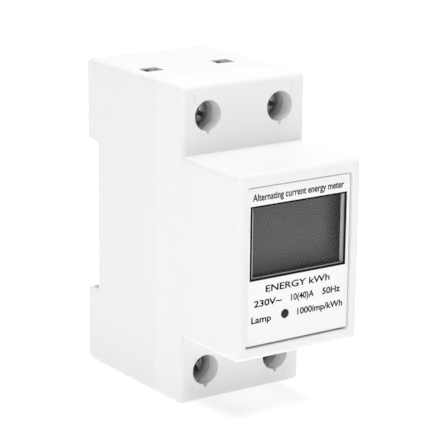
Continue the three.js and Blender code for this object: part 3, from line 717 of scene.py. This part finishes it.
lamp_low, lamp_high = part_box("pulse_led")
lamp_centre = (lamp_low + lamp_high) / 2
LAMP_HOLE = 1.15 * MM
LAMP_TOOL = 1.5 * MM
LAMP_STEPS = 40
LAMP_BEFORE = 0.5 * MM
lamp_profile = [(0, 0), (LAMP_HOLE, 0), (LAMP_HOLE, LAMP_TOOL), (0, LAMP_TOOL)]
lamp_tool = turned(lamp_profile, LAMP_STEPS, along_y(lamp_centre, label_high.y - LAMP_BEFORE))
cover = combine(cover, lamp_tool, "DIFFERENCE")

piece_from(cover, "front_cover_shell", cover_abs, ["front_cover"])

# %% [markdown]
# ## The rear base
#
# The base is the other moulding. A sunk hole in its back takes the screw that holds the case
# together. It is cut first, while the base is still a solid block, because a Boolean is surest on a
# simple shape. The rail comes in from behind, so the back also has a long recess, open at both sides,
# with a pad, a hooked lip at the top and a guide rib at the bottom. The recess's tool is an outline
# pushed across the whole width.

# %% The rear base's rounded skin
base = block((-HALF_WIDTH, SEAM_Y, -HALF_HEIGHT), (HALF_WIDTH, REAR_Y, HALF_HEIGHT))
round_edges(base, EDGE_RADIUS, EDGE_SEGMENTS, lambda edge: not lies_on(edge, Y, SEAM_Y))
round_edges(base, SEAM_CHAMFER, 1, lambda edge: lies_on(edge, Y, SEAM_Y))
print("base:", len(base.faces), "faces as a rounded block")

# %% Sink the hole for the case screw
SUNK_RADIUS = 2.95 * MM
SUNK_LIP = 0.2 * MM
SUNK_DEPTH = SKIN + 0.3 * MM
SUNK_STEPS = 48
case_screw_low, case_screw_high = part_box("case_screw")
sunk_profile = [
    (0, 0), (SUNK_RADIUS, 0), (SUNK_RADIUS, SUNK_DEPTH - SUNK_LIP), (SUNK_RADIUS + SUNK_LIP, SUNK_DEPTH),
    (SUNK_RADIUS + SUNK_LIP, SUNK_DEPTH + OVERSHOOT), (0, SUNK_DEPTH + OVERSHOOT),
]
sunk_centre = (case_screw_low + case_screw_high) / 2
sunk_place = along_y(sunk_centre, REAR_Y - SUNK_DEPTH)
base = combine(base, turned(sunk_profile, SUNK_STEPS, sunk_place), "DIFFERENCE")
print("sunk hole:", round(2 * SUNK_RADIUS / MM, 2), "mm wide")

# %% Cut the rail's recess
RECESS_FLOOR_Y = -0.4 * MM
RECESS_TOP = 18.95 * MM
RECESS_BOTTOM = -19.75 * MM
BLOCK_CORNER = 2.2 * MM
UNDERSIDE_SLOPE = 0.09


def across(outline, half_width):
    """An outline in Y and Z, pushed across from one side to the other."""
    bm = bmesh.new()
    face = bm.faces.new([bm.verts.new((-half_width, y, z)) for y, z in outline])
    grown = bmesh.ops.extrude_face_region(bm, geom=[face])["geom"]
    moved = [item for item in grown if isinstance(item, bmesh.types.BMVert)]
    bmesh.ops.translate(bm, verts=moved, vec=(2 * half_width, 0, 0))
    bmesh.ops.recalc_face_normals(bm, faces=bm.faces)
    return bm


rise = UNDERSIDE_SLOPE * (REAR_Y - RECESS_FLOOR_Y)
beyond = REAR_Y + 2 * BLOCK_CORNER
corner = arc((REAR_Y - BLOCK_CORNER, RECESS_BOTTOM - BLOCK_CORNER), BLOCK_CORNER, 0, 90, 10)
outline = [
    (RECESS_FLOOR_Y, RECESS_TOP - rise / 2),
    (beyond, RECESS_TOP + rise / 2 + UNDERSIDE_SLOPE * 2 * BLOCK_CORNER),
    (beyond, RECESS_BOTTOM - BLOCK_CORNER),
    *corner,
    (RECESS_FLOOR_Y, RECESS_BOTTOM),
]
base = combine(base, across(outline, 2 * HALF_WIDTH), "DIFFERENCE")
print("base:", len(base.faces), "faces with the recess")

# %% Add the pad, the rib and the lip
DEEP = 0.5 * MM
PAD_HALF_WIDTH, PAD_HALF_HEIGHT = 15 * MM, 15.5 * MM
PAD_EDGE = 0.15 * MM
RIB_HEIGHT = 1.45 * MM
RIB_DEPTH = 3.5 * MM
LIP_HALF_WIDTH = 13.5 * MM
LIP_FRONT = 1.4 * MM
LIP_BACK = 3.6 * MM
LIP_TIP = 15.9 * MM

pad = block(
    (-PAD_HALF_WIDTH, RECESS_FLOOR_Y - DEEP, -PAD_HALF_HEIGHT), (PAD_HALF_WIDTH, 0, PAD_HALF_HEIGHT)
)
round_edges(pad, PAD_EDGE, 2, lambda edge: lies_on(edge, Y, 0))
base = combine(base, pad, "UNION")
rib_top = RECESS_BOTTOM + RIB_HEIGHT
rib = [
    (RECESS_FLOOR_Y - DEEP, RECESS_BOTTOM - DEEP),
    (RECESS_FLOOR_Y - DEEP, rib_top),
    (RECESS_FLOOR_Y, rib_top),
    (RECESS_FLOOR_Y + RIB_DEPTH, RECESS_BOTTOM),
    (RECESS_FLOOR_Y + RIB_DEPTH, RECESS_BOTTOM - DEEP),
]
base = combine(base, across(rib, HALF_WIDTH - 1 * MM), "UNION")
lip_root = RECESS_TOP + 1 * MM
lip_outline = [(LIP_FRONT, lip_root), (LIP_FRONT, LIP_TIP), (LIP_BACK, LIP_TIP), (LIP_BACK, lip_root)]
lip = across(lip_outline, LIP_HALF_WIDTH)
round_edges(lip, 1.0 * MM, 6, lambda edge: lies_on(edge, Y, LIP_BACK) and lies_on(edge, Z, LIP_TIP))
round_edges(lip, 0.25 * MM, 3, lambda edge: lies_on(edge, Y, LIP_FRONT) and lies_on(edge, Z, LIP_TIP))
base = combine(base, lip, "UNION")

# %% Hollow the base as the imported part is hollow
INNER = HALF_WIDTH - SKIN
CEILING = HALF_HEIGHT - SKIN
RAIL_WALL = 1.1 * MM

space = block((-INNER, SEAM_Y - OVERSHOOT, -CEILING), (INNER, RECESS_FLOOR_Y - DEEP, CEILING))
behind = RECESS_FLOOR_Y - OVERSHOOT
upper_space = block((-INNER, behind, RECESS_TOP + RAIL_WALL), (INNER, REAR_Y - SKIN, CEILING))
lower_space = block((-INNER, behind, -CEILING), (INNER, REAR_Y - SKIN, RECESS_BOTTOM - RAIL_WALL))
space = combine(space, upper_space, "UNION")
space = combine(space, lower_space, "UNION")
space = combine(space, merged_copy("rear_base"), "DIFFERENCE")
base = combine(base, space, "DIFFERENCE")
print("base:", len(base.faces), "faces after hollowing")

# %% [markdown]
# Two kinds of opening still have to pass through the base's skin: the wire holes at the top and
# bottom, and the mouth that the rail clip's grip moves in. The wire holes are beyond the cages, a
# little to one side of the screws. Behind each one the wall is undercut, as the wall is thin there.

# %% Cut the wire holes and the clip's channel
WIRE_WIDTH = 5.0 * MM
WIRE_SHIFT = 1.95 * MM
WIRE_FRONT_Y = -18.3 * MM
WIRE_BACK_Y = -14.0 * MM
WIRE_DEPTH = 2.3 * MM
WIRE_CORNER = 0.35 * MM
WIRE_LIP = 0.12 * MM
UNDERCUT_SKIN = 0.45 * MM
UNDERCUT_DEPTH = 2.6 * MM
UNDERCUT_WIDTH = 3.4 * MM


def wire_tool(centre):
    """A wire hole through the top or the bottom wall, with a mouth that widens."""
    end = math.copysign(1, centre.z)
    middle = Vector((centre.x - WIRE_SHIFT, (WIRE_FRONT_Y + WIRE_BACK_Y) / 2, 0))
    half = Vector((WIRE_WIDTH / 2, (WIRE_BACK_Y - WIRE_FRONT_Y) / 2, 0))
    tool = flared_block(
        (-half.x, -HALF_HEIGHT, -half.y), (half.x, -HALF_HEIGHT + WIRE_DEPTH, half.y),
        WIRE_CORNER, WIRE_LIP, -HALF_HEIGHT,
    )
    turn = Matrix.Rotation(math.radians(-90 * end), 4, "X")
    bmesh.ops.transform(tool, matrix=Matrix.Translation(middle) @ turn, verts=tool.verts)
    return tool


for centre in screw_axes.values():
    base = combine(base, wire_tool(centre), "DIFFERENCE")
    end = math.copysign(1, centre.z)
    near, far = end * (HALF_HEIGHT - UNDERCUT_SKIN), end * (HALF_HEIGHT - UNDERCUT_DEPTH)
    left = centre.x - WIRE_SHIFT - WIRE_WIDTH / 2 + 0.1 * MM
    hollow_low = (left, WIRE_BACK_Y - 0.2 * MM, min(near, far))
    hollow_high = (left + UNDERCUT_WIDTH, WIRE_BACK_Y + 1.8 * MM, max(near, far))
    base = combine(base, block(hollow_low, hollow_high), "DIFFERENCE")

clip_low, clip_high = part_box("din_clip")
PLAY = 0.3 * MM
GRIP_HALF = 6.7 * MM + PLAY
channel_low = (clip_low.x - PLAY, LIP_FRONT - PLAY, -HALF_HEIGHT - OVERSHOOT)
channel_high = (clip_high.x + PLAY, LIP_FRONT + 2 * MM + PLAY, rib_top + OVERSHOOT)
base = combine(base, block(channel_low, channel_high), "DIFFERENCE")
mouth_low = (-GRIP_HALF, LIP_FRONT - PLAY, -HALF_HEIGHT - OVERSHOOT)
mouth_high = (GRIP_HALF, REAR_Y + OVERSHOOT, RECESS_BOTTOM + OVERSHOOT)
base = combine(base, block(mouth_low, mouth_high), "DIFFERENCE")

piece_from(base, "rear_base_shell", base_abs, ["rear_base"])

# %% [markdown]
# ## The label
#
# The film is a thin plate with rounded corners. It has an opening for the display and a hole for
# the lamp. The black border of the display is a layer of ink on the pane, much thinner than the
# film, and its four sides aren't equally wide, as the display sits a little off the middle of its
# opening. The clear pane lies behind the ink.

# %% The film and the black border
LABEL_CORNER = 0.5 * MM
BORDER_LEFT, BORDER_RIGHT = 0.55 * MM, 0.7 * MM
BORDER_TOP, BORDER_BOTTOM = 0.42 * MM, 0.6 * MM
FILM_EDGE = 0.05 * MM


def plate(low, high, corner, edge_radius):
    """A flat plate with rounded corners and a rounded front edge."""
    bm = block(low, high)
    round_edges(bm, corner, 6, lambda edge: runs_along(edge, Y))
    return round_edges(bm, edge_radius, 2, lambda edge: lies_on(edge, Y, low[Y]))


film = plate(label_low, label_high, LABEL_CORNER, FILM_EDGE)
opening = block(
    (window_low.x, label_low.y - OVERSHOOT, window_low.z),
    (window_high.x, label_high.y + OVERSHOOT, window_high.z),
)
film = combine(film, opening, "DIFFERENCE")
film_lamp = turned(lamp_profile, LAMP_STEPS, along_y(lamp_centre, label_low.y - LAMP_BEFORE))
film = combine(film, film_lamp, "DIFFERENCE")
piece_from(film, "label_film", label_film, ["faceplate"])

BORDER_DEEP = 0.03 * MM
border = block(window_low, (window_high.x, window_low.y + BORDER_DEEP, window_high.z))
inside = block(
    (window_low.x + BORDER_LEFT, window_low.y - OVERSHOOT, window_low.z + BORDER_BOTTOM),
    (window_high.x - BORDER_RIGHT, window_high.y + OVERSHOOT, window_high.z - BORDER_TOP),
)
border = combine(border, inside, "DIFFERENCE")
piece_from(border, "window_border", border_ink, ["window_frame"])
pane = block((window_low.x, window_low.y + BORDER_DEEP, window_low.z), window_high)
piece_from(pane, "window_pane", clear_pane, ["display_window"])

# %% The gasket behind the window, and the lamp's dark window
GASKET_FRONT = -59.0 * MM
GASKET_BACK = -58.85 * MM
GASKET_LEFT, GASKET_RIGHT = 0.08 * MM, 0.3 * MM
GASKET_BOTTOM, GASKET_TOP = 0.3 * MM, 0.1 * MM
FOOT_DEPTH = 0.9 * MM
FOOT_HEIGHT = 0.1 * MM
gasket = block((well_low[X], GASKET_FRONT, well_low[Z]), (well_high[X], GASKET_BACK, well_high[Z]))
gasket_inside = block(
    (well_low[X] + GASKET_LEFT, GASKET_FRONT - OVERSHOOT, well_low[Z] + GASKET_BOTTOM),
    (well_high[X] - GASKET_RIGHT, GASKET_BACK + OVERSHOOT, well_high[Z] - GASKET_TOP),
)
gasket = combine(gasket, gasket_inside, "DIFFERENCE")
gasket_foot = block(
    (well_low[X], GASKET_FRONT - FOOT_DEPTH, well_low[Z]),
    (well_high[X], GASKET_BACK, well_low[Z] + FOOT_HEIGHT),
)
gasket = combine(gasket, gasket_foot, "UNION")
piece_from(gasket, "window_gasket", finishes["black_plastic"])

LENS_RADIUS = 1.08 * MM
LENS_EDGE = 0.06 * MM
LENS_DEPTH = 0.48 * MM
LENS_SINK = 0.01 * MM
lens_edge = arc((LENS_RADIUS - LENS_EDGE, LENS_EDGE), LENS_EDGE, 270, 360, 3)
lens_profile = [(0, 0), *lens_edge, (LENS_RADIUS, LENS_DEPTH), (0, LENS_DEPTH)]
lens = turned(lens_profile, LAMP_STEPS, along_y(lamp_centre, label_low.y + LENS_SINK))
piece_from(lens, "lamp_window", smoked_lens)

# %% [markdown]
# ### Lettering
#
# The words are plain ones that any such meter could carry. Each line is set in Blender's own font,
# turned into a mesh, and scaled to a given width and height of its capitals. The print is a hair
# thicker than nothing, as screen ink is. The letters by the terminals are raised from the moulding.

# %% Turn words into a mesh
def letters(words, weight):
    """A line of words as a bmesh in the XY plane, one unit thick."""
    curve = bpy.data.curves.new("words", "FONT")
    curve.body = words
    curve.offset = weight
    curve.extrude = 0.5
    curve.resolution_u = 4
    line = bpy.data.objects.new("words", curve)
    bpy.context.scene.collection.objects.link(line)
    mesh = bpy.data.meshes.new_from_object(line.evaluated_get(bpy.context.evaluated_depsgraph_get()))
    bm = bmesh.new()
    bm.from_mesh(mesh)
    bpy.data.objects.remove(line)
    bpy.data.curves.remove(curve)
    bpy.data.meshes.remove(mesh)
    bmesh.ops.remove_doubles(bm, verts=bm.verts, dist=1e-5)
    return bm


def reach(bm, axis):
    """The lowest and highest place of a shape along an axis."""
    places = [vert.co[axis] for vert in bm.verts]
    return min(places), max(places)


def set_line(words, left, right, baseline, capital, weight, front, back):
    """Words between two sides, standing on a baseline, from a front plane to a back plane."""
    sample = letters("H", weight)
    low, high = reach(sample, Y)
    sample.free()
    bm = letters(words, weight)
    start, end = reach(bm, X)
    wide, tall, deep = (right - left) / (end - start), capital / (high - low), back - front
    place = Matrix.Translation((left - start * wide, (front + back) / 2, baseline - low * tall))
    upright = Matrix.Rotation(math.radians(90), 4, "X")
    bmesh.ops.transform(bm, matrix=place @ upright @ Matrix.Diagonal((wide, tall, deep, 1)), verts=bm.verts)
    return bm


def gather(shapes):
    """Several bmeshes in one."""
    whole = bmesh.new()
    for bm in shapes:
        mesh = bpy.data.meshes.new("temporary")
        bm.to_mesh(mesh)
        bm.free()
        whole.from_mesh(mesh)
        bpy.data.meshes.remove(mesh)
    return whole


# %% Print the label
# Each line has its words, left and right side, baseline, capital height and stroke weight.
INK_THICKNESS = 0.012 * MM
LINES = [
    ("Alternating current energy meter", -13.4, 13.0, 15.98, 1.72, 0.022),
    ("ENERGY kWh", -9.3, 9.4, -6.2, 1.62, 0.018),
    ("230V~", -12.6, -4.6, -9.5, 1.6, 0.024),
    ("10(40)A", -1.9, 4.8, -9.5, 1.6, 0.024),
    ("50Hz", 7.3, 12.6, -9.5, 1.6, 0.024),
    ("Lamp", -13.3, -7.6, -13.4, 1.62, 0.024),
    ("1000imp/kWh", 0.0, 13.4, -13.25, 1.6, 0.024),
]
INK_FRONT, INK_BACK = label_low.y - INK_THICKNESS, label_low.y + INK_THICKNESS
printed = [
    set_line(words, left * MM, right * MM, base_z * MM, capital * MM, weight, INK_FRONT, INK_BACK)
    for words, left, right, base_z, capital, weight in LINES
]
piece_from(gather(printed), "label_print", printing_ink)

# %% Raise the letters by the terminals
MARK_FRONT, MARK_BACK = TERMINAL_Y - 0.14 * MM, TERMINAL_Y + 0.1 * MM
MARK_CAPITAL = 2.2 * MM
MARK_WIDTH = 1.15 * MM
MARK_WEIGHT = -0.01
UPPER_FOOT, LOWER_FOOT = 35.1 * MM, -37.4 * MM
marks = []
for centre in screw_axes.values():
    mark, left = ("N", -15.2 * MM) if centre.x < 0 else ("L", 13.5 * MM)
    foot = UPPER_FOOT if centre.z > 0 else LOWER_FOOT
    marks.append(
        set_line(mark, left, left + MARK_WIDTH, foot, MARK_CAPITAL, MARK_WEIGHT, MARK_FRONT, MARK_BACK)
    )
piece_from(gather(marks), "terminal_letters", cover_abs)

# %% [markdown]
# ## The clamp screws
#
# A clamp screw has a flat head with a slot, a shorter slot across it, and a metric thread. The head
# and thread are one profile, spun round the axis, so the thread is a stack of rings and not a helix.
# The slots are crossed blocks, and a cone deepens their middle. Each screw was left at a different
# angle by whoever last turned it.

# %% Make the four screws
HEAD_RADIUS = 3.3 * MM
HEAD_DEEP = 2.2 * MM
HEAD_ROUND = 0.35 * MM
THREAD_RADIUS = 1.98 * MM
THREAD_DEEP = 0.28 * MM
PITCH = 0.7 * MM
SLOT_WIDTH = 1.05 * MM
SLOT_REACH, SLOT_DEPTH = 2.75 * MM, 1.5 * MM
CROSS_REACH, CROSS_DEPTH = 2.05 * MM, 1.9 * MM
SLOT_EDGE = 0.07 * MM
SCREW_TURN = {"upper_left": 24, "upper_right": 20, "lower_left": 62, "lower_right": 38}


def screw(low, high, turn):
    """A clamp screw whose head's front is at low.y and whose tip is at high.y."""
    long = high.y - low.y
    profile = [(0, 0), *arc((HEAD_RADIUS - HEAD_ROUND, HEAD_ROUND), HEAD_ROUND, 270, 360, 5)]
    profile += [(HEAD_RADIUS, HEAD_DEEP - 0.15 * MM), (HEAD_RADIUS - 0.15 * MM, HEAD_DEEP)]
    height = HEAD_DEEP + 0.5 * MM
    profile += [(THREAD_RADIUS - THREAD_DEEP, HEAD_DEEP), (THREAD_RADIUS - THREAD_DEEP, height)]
    while height + PITCH < long - 0.5 * MM:
        profile += [(THREAD_RADIUS, height + PITCH / 2), (THREAD_RADIUS - THREAD_DEEP, height + PITCH)]
        height += PITCH
    profile += [(THREAD_RADIUS - 2 * THREAD_DEEP, long), (0, long)]
    bm = turned(profile, 64, Matrix.Identity(4))
    half = SLOT_WIDTH / 2
    cone = [(0, -OVERSHOOT), (1.25 * MM, -OVERSHOOT), (1.15 * MM, 0), (0, 2.6 * MM)]
    tools = [
        block((-SLOT_REACH, -half, -OVERSHOOT), (SLOT_REACH, half, SLOT_DEPTH)),
        block((-half, -CROSS_REACH, -OVERSHOOT), (half, CROSS_REACH, CROSS_DEPTH)),
        turned(cone, 24, Matrix.Identity(4)),
    ]
    for tool in tools:
        bm = combine(bm, tool, "DIFFERENCE")
    round_edges(bm, SLOT_EDGE, 2, lambda edge: lies_on(edge, Z, 0) and edge.calc_face_angle(0) > 1)
    centre = (low + high) / 2
    spin = Matrix.Rotation(math.radians(turn), 4, "Z")
    bmesh.ops.transform(bm, matrix=along_y(centre, low.y) @ spin, verts=bm.verts)
    return bm


for name, (low, high) in screw_boxes.items():
    piece_from(
        screw(low, high, SCREW_TURN[name]), f"clamp_screw_{name}", nickel_plate,
        [f"terminal_screw_{name}"], f"screw_{name}"
    )

# %% [markdown]
# ## The spring of the rail clip
#
# The spring is a coil of steel wire between the case and the clip. A ring of points is carried along
# a helix to make the wire. The spring is put on no body.

# %% Wind the spring
spring_low, spring_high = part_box("din_clip_spring")
WIRE_RADIUS = 0.25 * MM
TURNS = 7
STEPS_A_TURN = 24
RING = 8


def coil(low, high):
    """A helix of round wire that stands along Z inside a box."""
    bm = bmesh.new()
    axis = (low + high) / 2
    radius = (high.x - low.x) / 2 - WIRE_RADIUS
    count = TURNS * STEPS_A_TURN
    rings = []
    for step in range(count + 1):
        angle = 2 * math.pi * step / STEPS_A_TURN
        share = step / count
        eased = min(max((share * TURNS - 0.8) / (TURNS - 1.6), 0), 1)
        height = low.z + WIRE_RADIUS + (high.z - low.z - 2 * WIRE_RADIUS) * eased
        outward = Vector((math.cos(angle), math.sin(angle), 0))
        centre = Vector((axis.x, axis.y, height)) + radius * outward
        ring = []
        for corner in range(RING):
            around = 2 * math.pi * corner / RING
            offset = math.cos(around) * outward + math.sin(around) * Vector((0, 0, 1))
            ring.append(bm.verts.new(centre + WIRE_RADIUS * offset))
        rings.append(ring)
    for first, second in zip(rings, rings[1:]):
        for corner in range(RING):
            after = (corner + 1) % RING
            bm.faces.new((first[corner], first[after], second[after], second[corner]))
    bm.faces.new(rings[0])
    bm.faces.new(rings[-1])
    bmesh.ops.recalc_face_normals(bm, faces=bm.faces)
    return bm


spring = piece_from(
    coil(spring_low, spring_high), "clip_coil", spring_wire, ["din_clip_spring"], None
)
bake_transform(spring)

# %% [markdown]
# ## The parts inside
#
# The parts that are left are copied with their loose triangles joined, and a small bevel on every
# sharp edge, because no real edge is perfectly sharp. The bevel is smaller for thin parts.

# %% Soften the edges of the inner parts
done = {"front_cover", "rear_base", "faceplate", "window_frame", "display_window", "din_clip_spring"}
done |= {f"terminal_screw_{name}" for name in screw_boxes}
slots = {part["node"]: part["material_slot"] for part in frame["record"]["subparts"]}
bodies = {f"clamp_cage_{name}": f"cage_{name}" for name in screw_boxes} | {"din_clip": "din_clip"}
CLIP_EDGE = 0.25 * MM
WIDEST_EDGE = 0.12 * MM
EDGE_SHARE = 0.06


def softened(node):
    """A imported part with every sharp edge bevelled, by a share of its thinnest side."""
    low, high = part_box(node)
    width = CLIP_EDGE if node == "din_clip" else min(WIDEST_EDGE, EDGE_SHARE * min(high - low))
    bm = merged_copy(node)
    return round_edges(
        bm, width, 2, lambda edge: edge.is_manifold and edge.calc_face_angle() > SHARP_ANGLE
    )


for node in sorted(set(slots) - done):
    slot, body = slots[node], bodies.get(node, "case")
    piece_from(softened(node), f"{node}_soft", finishes[slot], [node], body)

# %% [markdown]
# ## Light, floor and camera
#
# The floor is a plain pale sheet that glows a little, and more so further out, so that it stays
# white all the way. One soft box hangs almost straight above, and a weaker one stands low at the
# front left. The camera has a long lens and stands in front, to the left and a little above.

# %% The floor
FLOOR_HALF = 3.0
floor_mesh = bpy.data.meshes.new("floor")
floor_bm = bmesh.new()
bmesh.ops.create_grid(
    floor_bm, x_segments=1, y_segments=1, size=FLOOR_HALF, matrix=Matrix.Translation((0, 0, cover_low.z))
)
floor_bm.to_mesh(floor_mesh)
floor_bm.free()
floor = bpy.data.objects.new("floor", floor_mesh)
bpy.context.scene.collection.objects.link(floor)
floor_paint, floor_shader, floor_place = start_material("floor_paper", Roughness=0.9)
floor_shader.inputs["Base Color"].default_value = linear("#fafafa")
floor_shader.inputs["Specular IOR Level"].default_value = 0.0
floor_shader.inputs["Emission Color"].default_value = linear("#ffffff")
distance = add_node(floor_paint, "VectorMath", {0: floor_place}, operation="LENGTH")
glow = add_node(
    floor_paint, "MapRange",
    {
        "Value": distance.outputs["Value"],
        "From Min": 80 * MM, "From Max": 500 * MM, "To Min": 0.3, "To Max": 0.45,
    },
    interpolation_type="SMOOTHSTEP",
)
connect(floor_paint, glow.outputs["Result"], floor_shader, "Emission Strength")
floor_mesh.materials.append(floor_paint)
print("floor at", round(cover_low.z / MM, 2), "mm, under the cover's lowest edge")

# %% Soft boxes
TARGET = Vector((1.14, -28.39, 1.25)) * MM


def direction(azimuth, elevation):
    """The way from the object to a lamp or camera, with 0, 0 straight in front of it."""
    turn, lift = math.radians(azimuth), math.radians(elevation)
    return Vector((math.sin(turn) * math.cos(lift), -math.cos(turn) * math.cos(lift), math.sin(lift)))


def soft_box(name, azimuth, elevation, distance, size, power):
    """A square soft box that looks at the object."""
    light = bpy.data.lights.new(name, "AREA")
    light.shape = "SQUARE"
    light.size = size
    light.energy = power
    lamp = bpy.data.objects.new(name, light)
    back = direction(azimuth, elevation)
    lamp.location = TARGET + distance * back
    lamp.rotation_mode = "QUATERNION"
    lamp.rotation_quaternion = back.to_track_quat("Z", "Y")
    bpy.context.scene.collection.objects.link(lamp)
    print(name, power, "W from", azimuth, "and", elevation, "degrees")


soft_box("top_box", 0, 80, 0.8, 0.7, 5.8)
soft_box("key_box", -56, 12, 1.2, 0.6, 3.35)

# %% [markdown]
# The sky is dim in front and brighter behind and to the right, as in a studio with white walls on
# those two sides. Its strength follows the direction of the ray, so a dot product with an axis,
# held at zero or more, gives each wall its own soft lobe.

# %% Sky
world = bpy.data.worlds.new("studio")
bpy.context.scene.world = world
world.use_nodes = True
ray = add_node(world, "TexCoord", {}).outputs["Generated"]
strength = 0.1
for axis, brightness in (((0, 1, 0), 0.75), ((1, 0, 0), 0.5)):
    facing = add_node(world, "VectorMath", {0: ray, 1: axis}, operation="DOT_PRODUCT")
    lobe = add_node(world, "Math", {0: facing.outputs["Value"], 1: 0.0}, operation="MAXIMUM")
    level = add_node(
        world, "Math", {0: lobe.outputs["Value"], 1: brightness, 2: strength}, operation="MULTIPLY_ADD"
    )
    strength = level.outputs["Value"]
background = world.node_tree.nodes["Background"]
background.inputs["Color"].default_value = linear("#ffffff")
world.node_tree.links.new(strength, background.inputs["Strength"])
print("sky:", len(world.node_tree.nodes), "nodes")

# %% Camera
DISTANCE = 508.2 * MM
AZIMUTH, ELEVATION = -34.87, 15.26
ROLL = math.radians(0.70)
FOCAL_LENGTH = 165.6
camera_data = bpy.data.cameras.new("camera")
camera_data.lens = FOCAL_LENGTH
camera_data.sensor_width = 36
camera_data.clip_start = 0.01
camera = bpy.data.objects.new("camera", camera_data)
back = direction(AZIMUTH, ELEVATION)
aim = back.to_track_quat("Z", "Y").to_matrix() @ Matrix.Rotation(ROLL, 3, "Z")
camera.location = TARGET + DISTANCE * back
camera.rotation_mode = "QUATERNION"
camera.rotation_quaternion = aim.to_quaternion()
bpy.context.scene.collection.objects.link(camera)
bpy.context.scene.camera = camera
bpy.context.scene.view_settings.view_transform = "Standard"
print("camera:", FOCAL_LENGTH, "mm lens,", round(DISTANCE / MM, 1), "mm away")
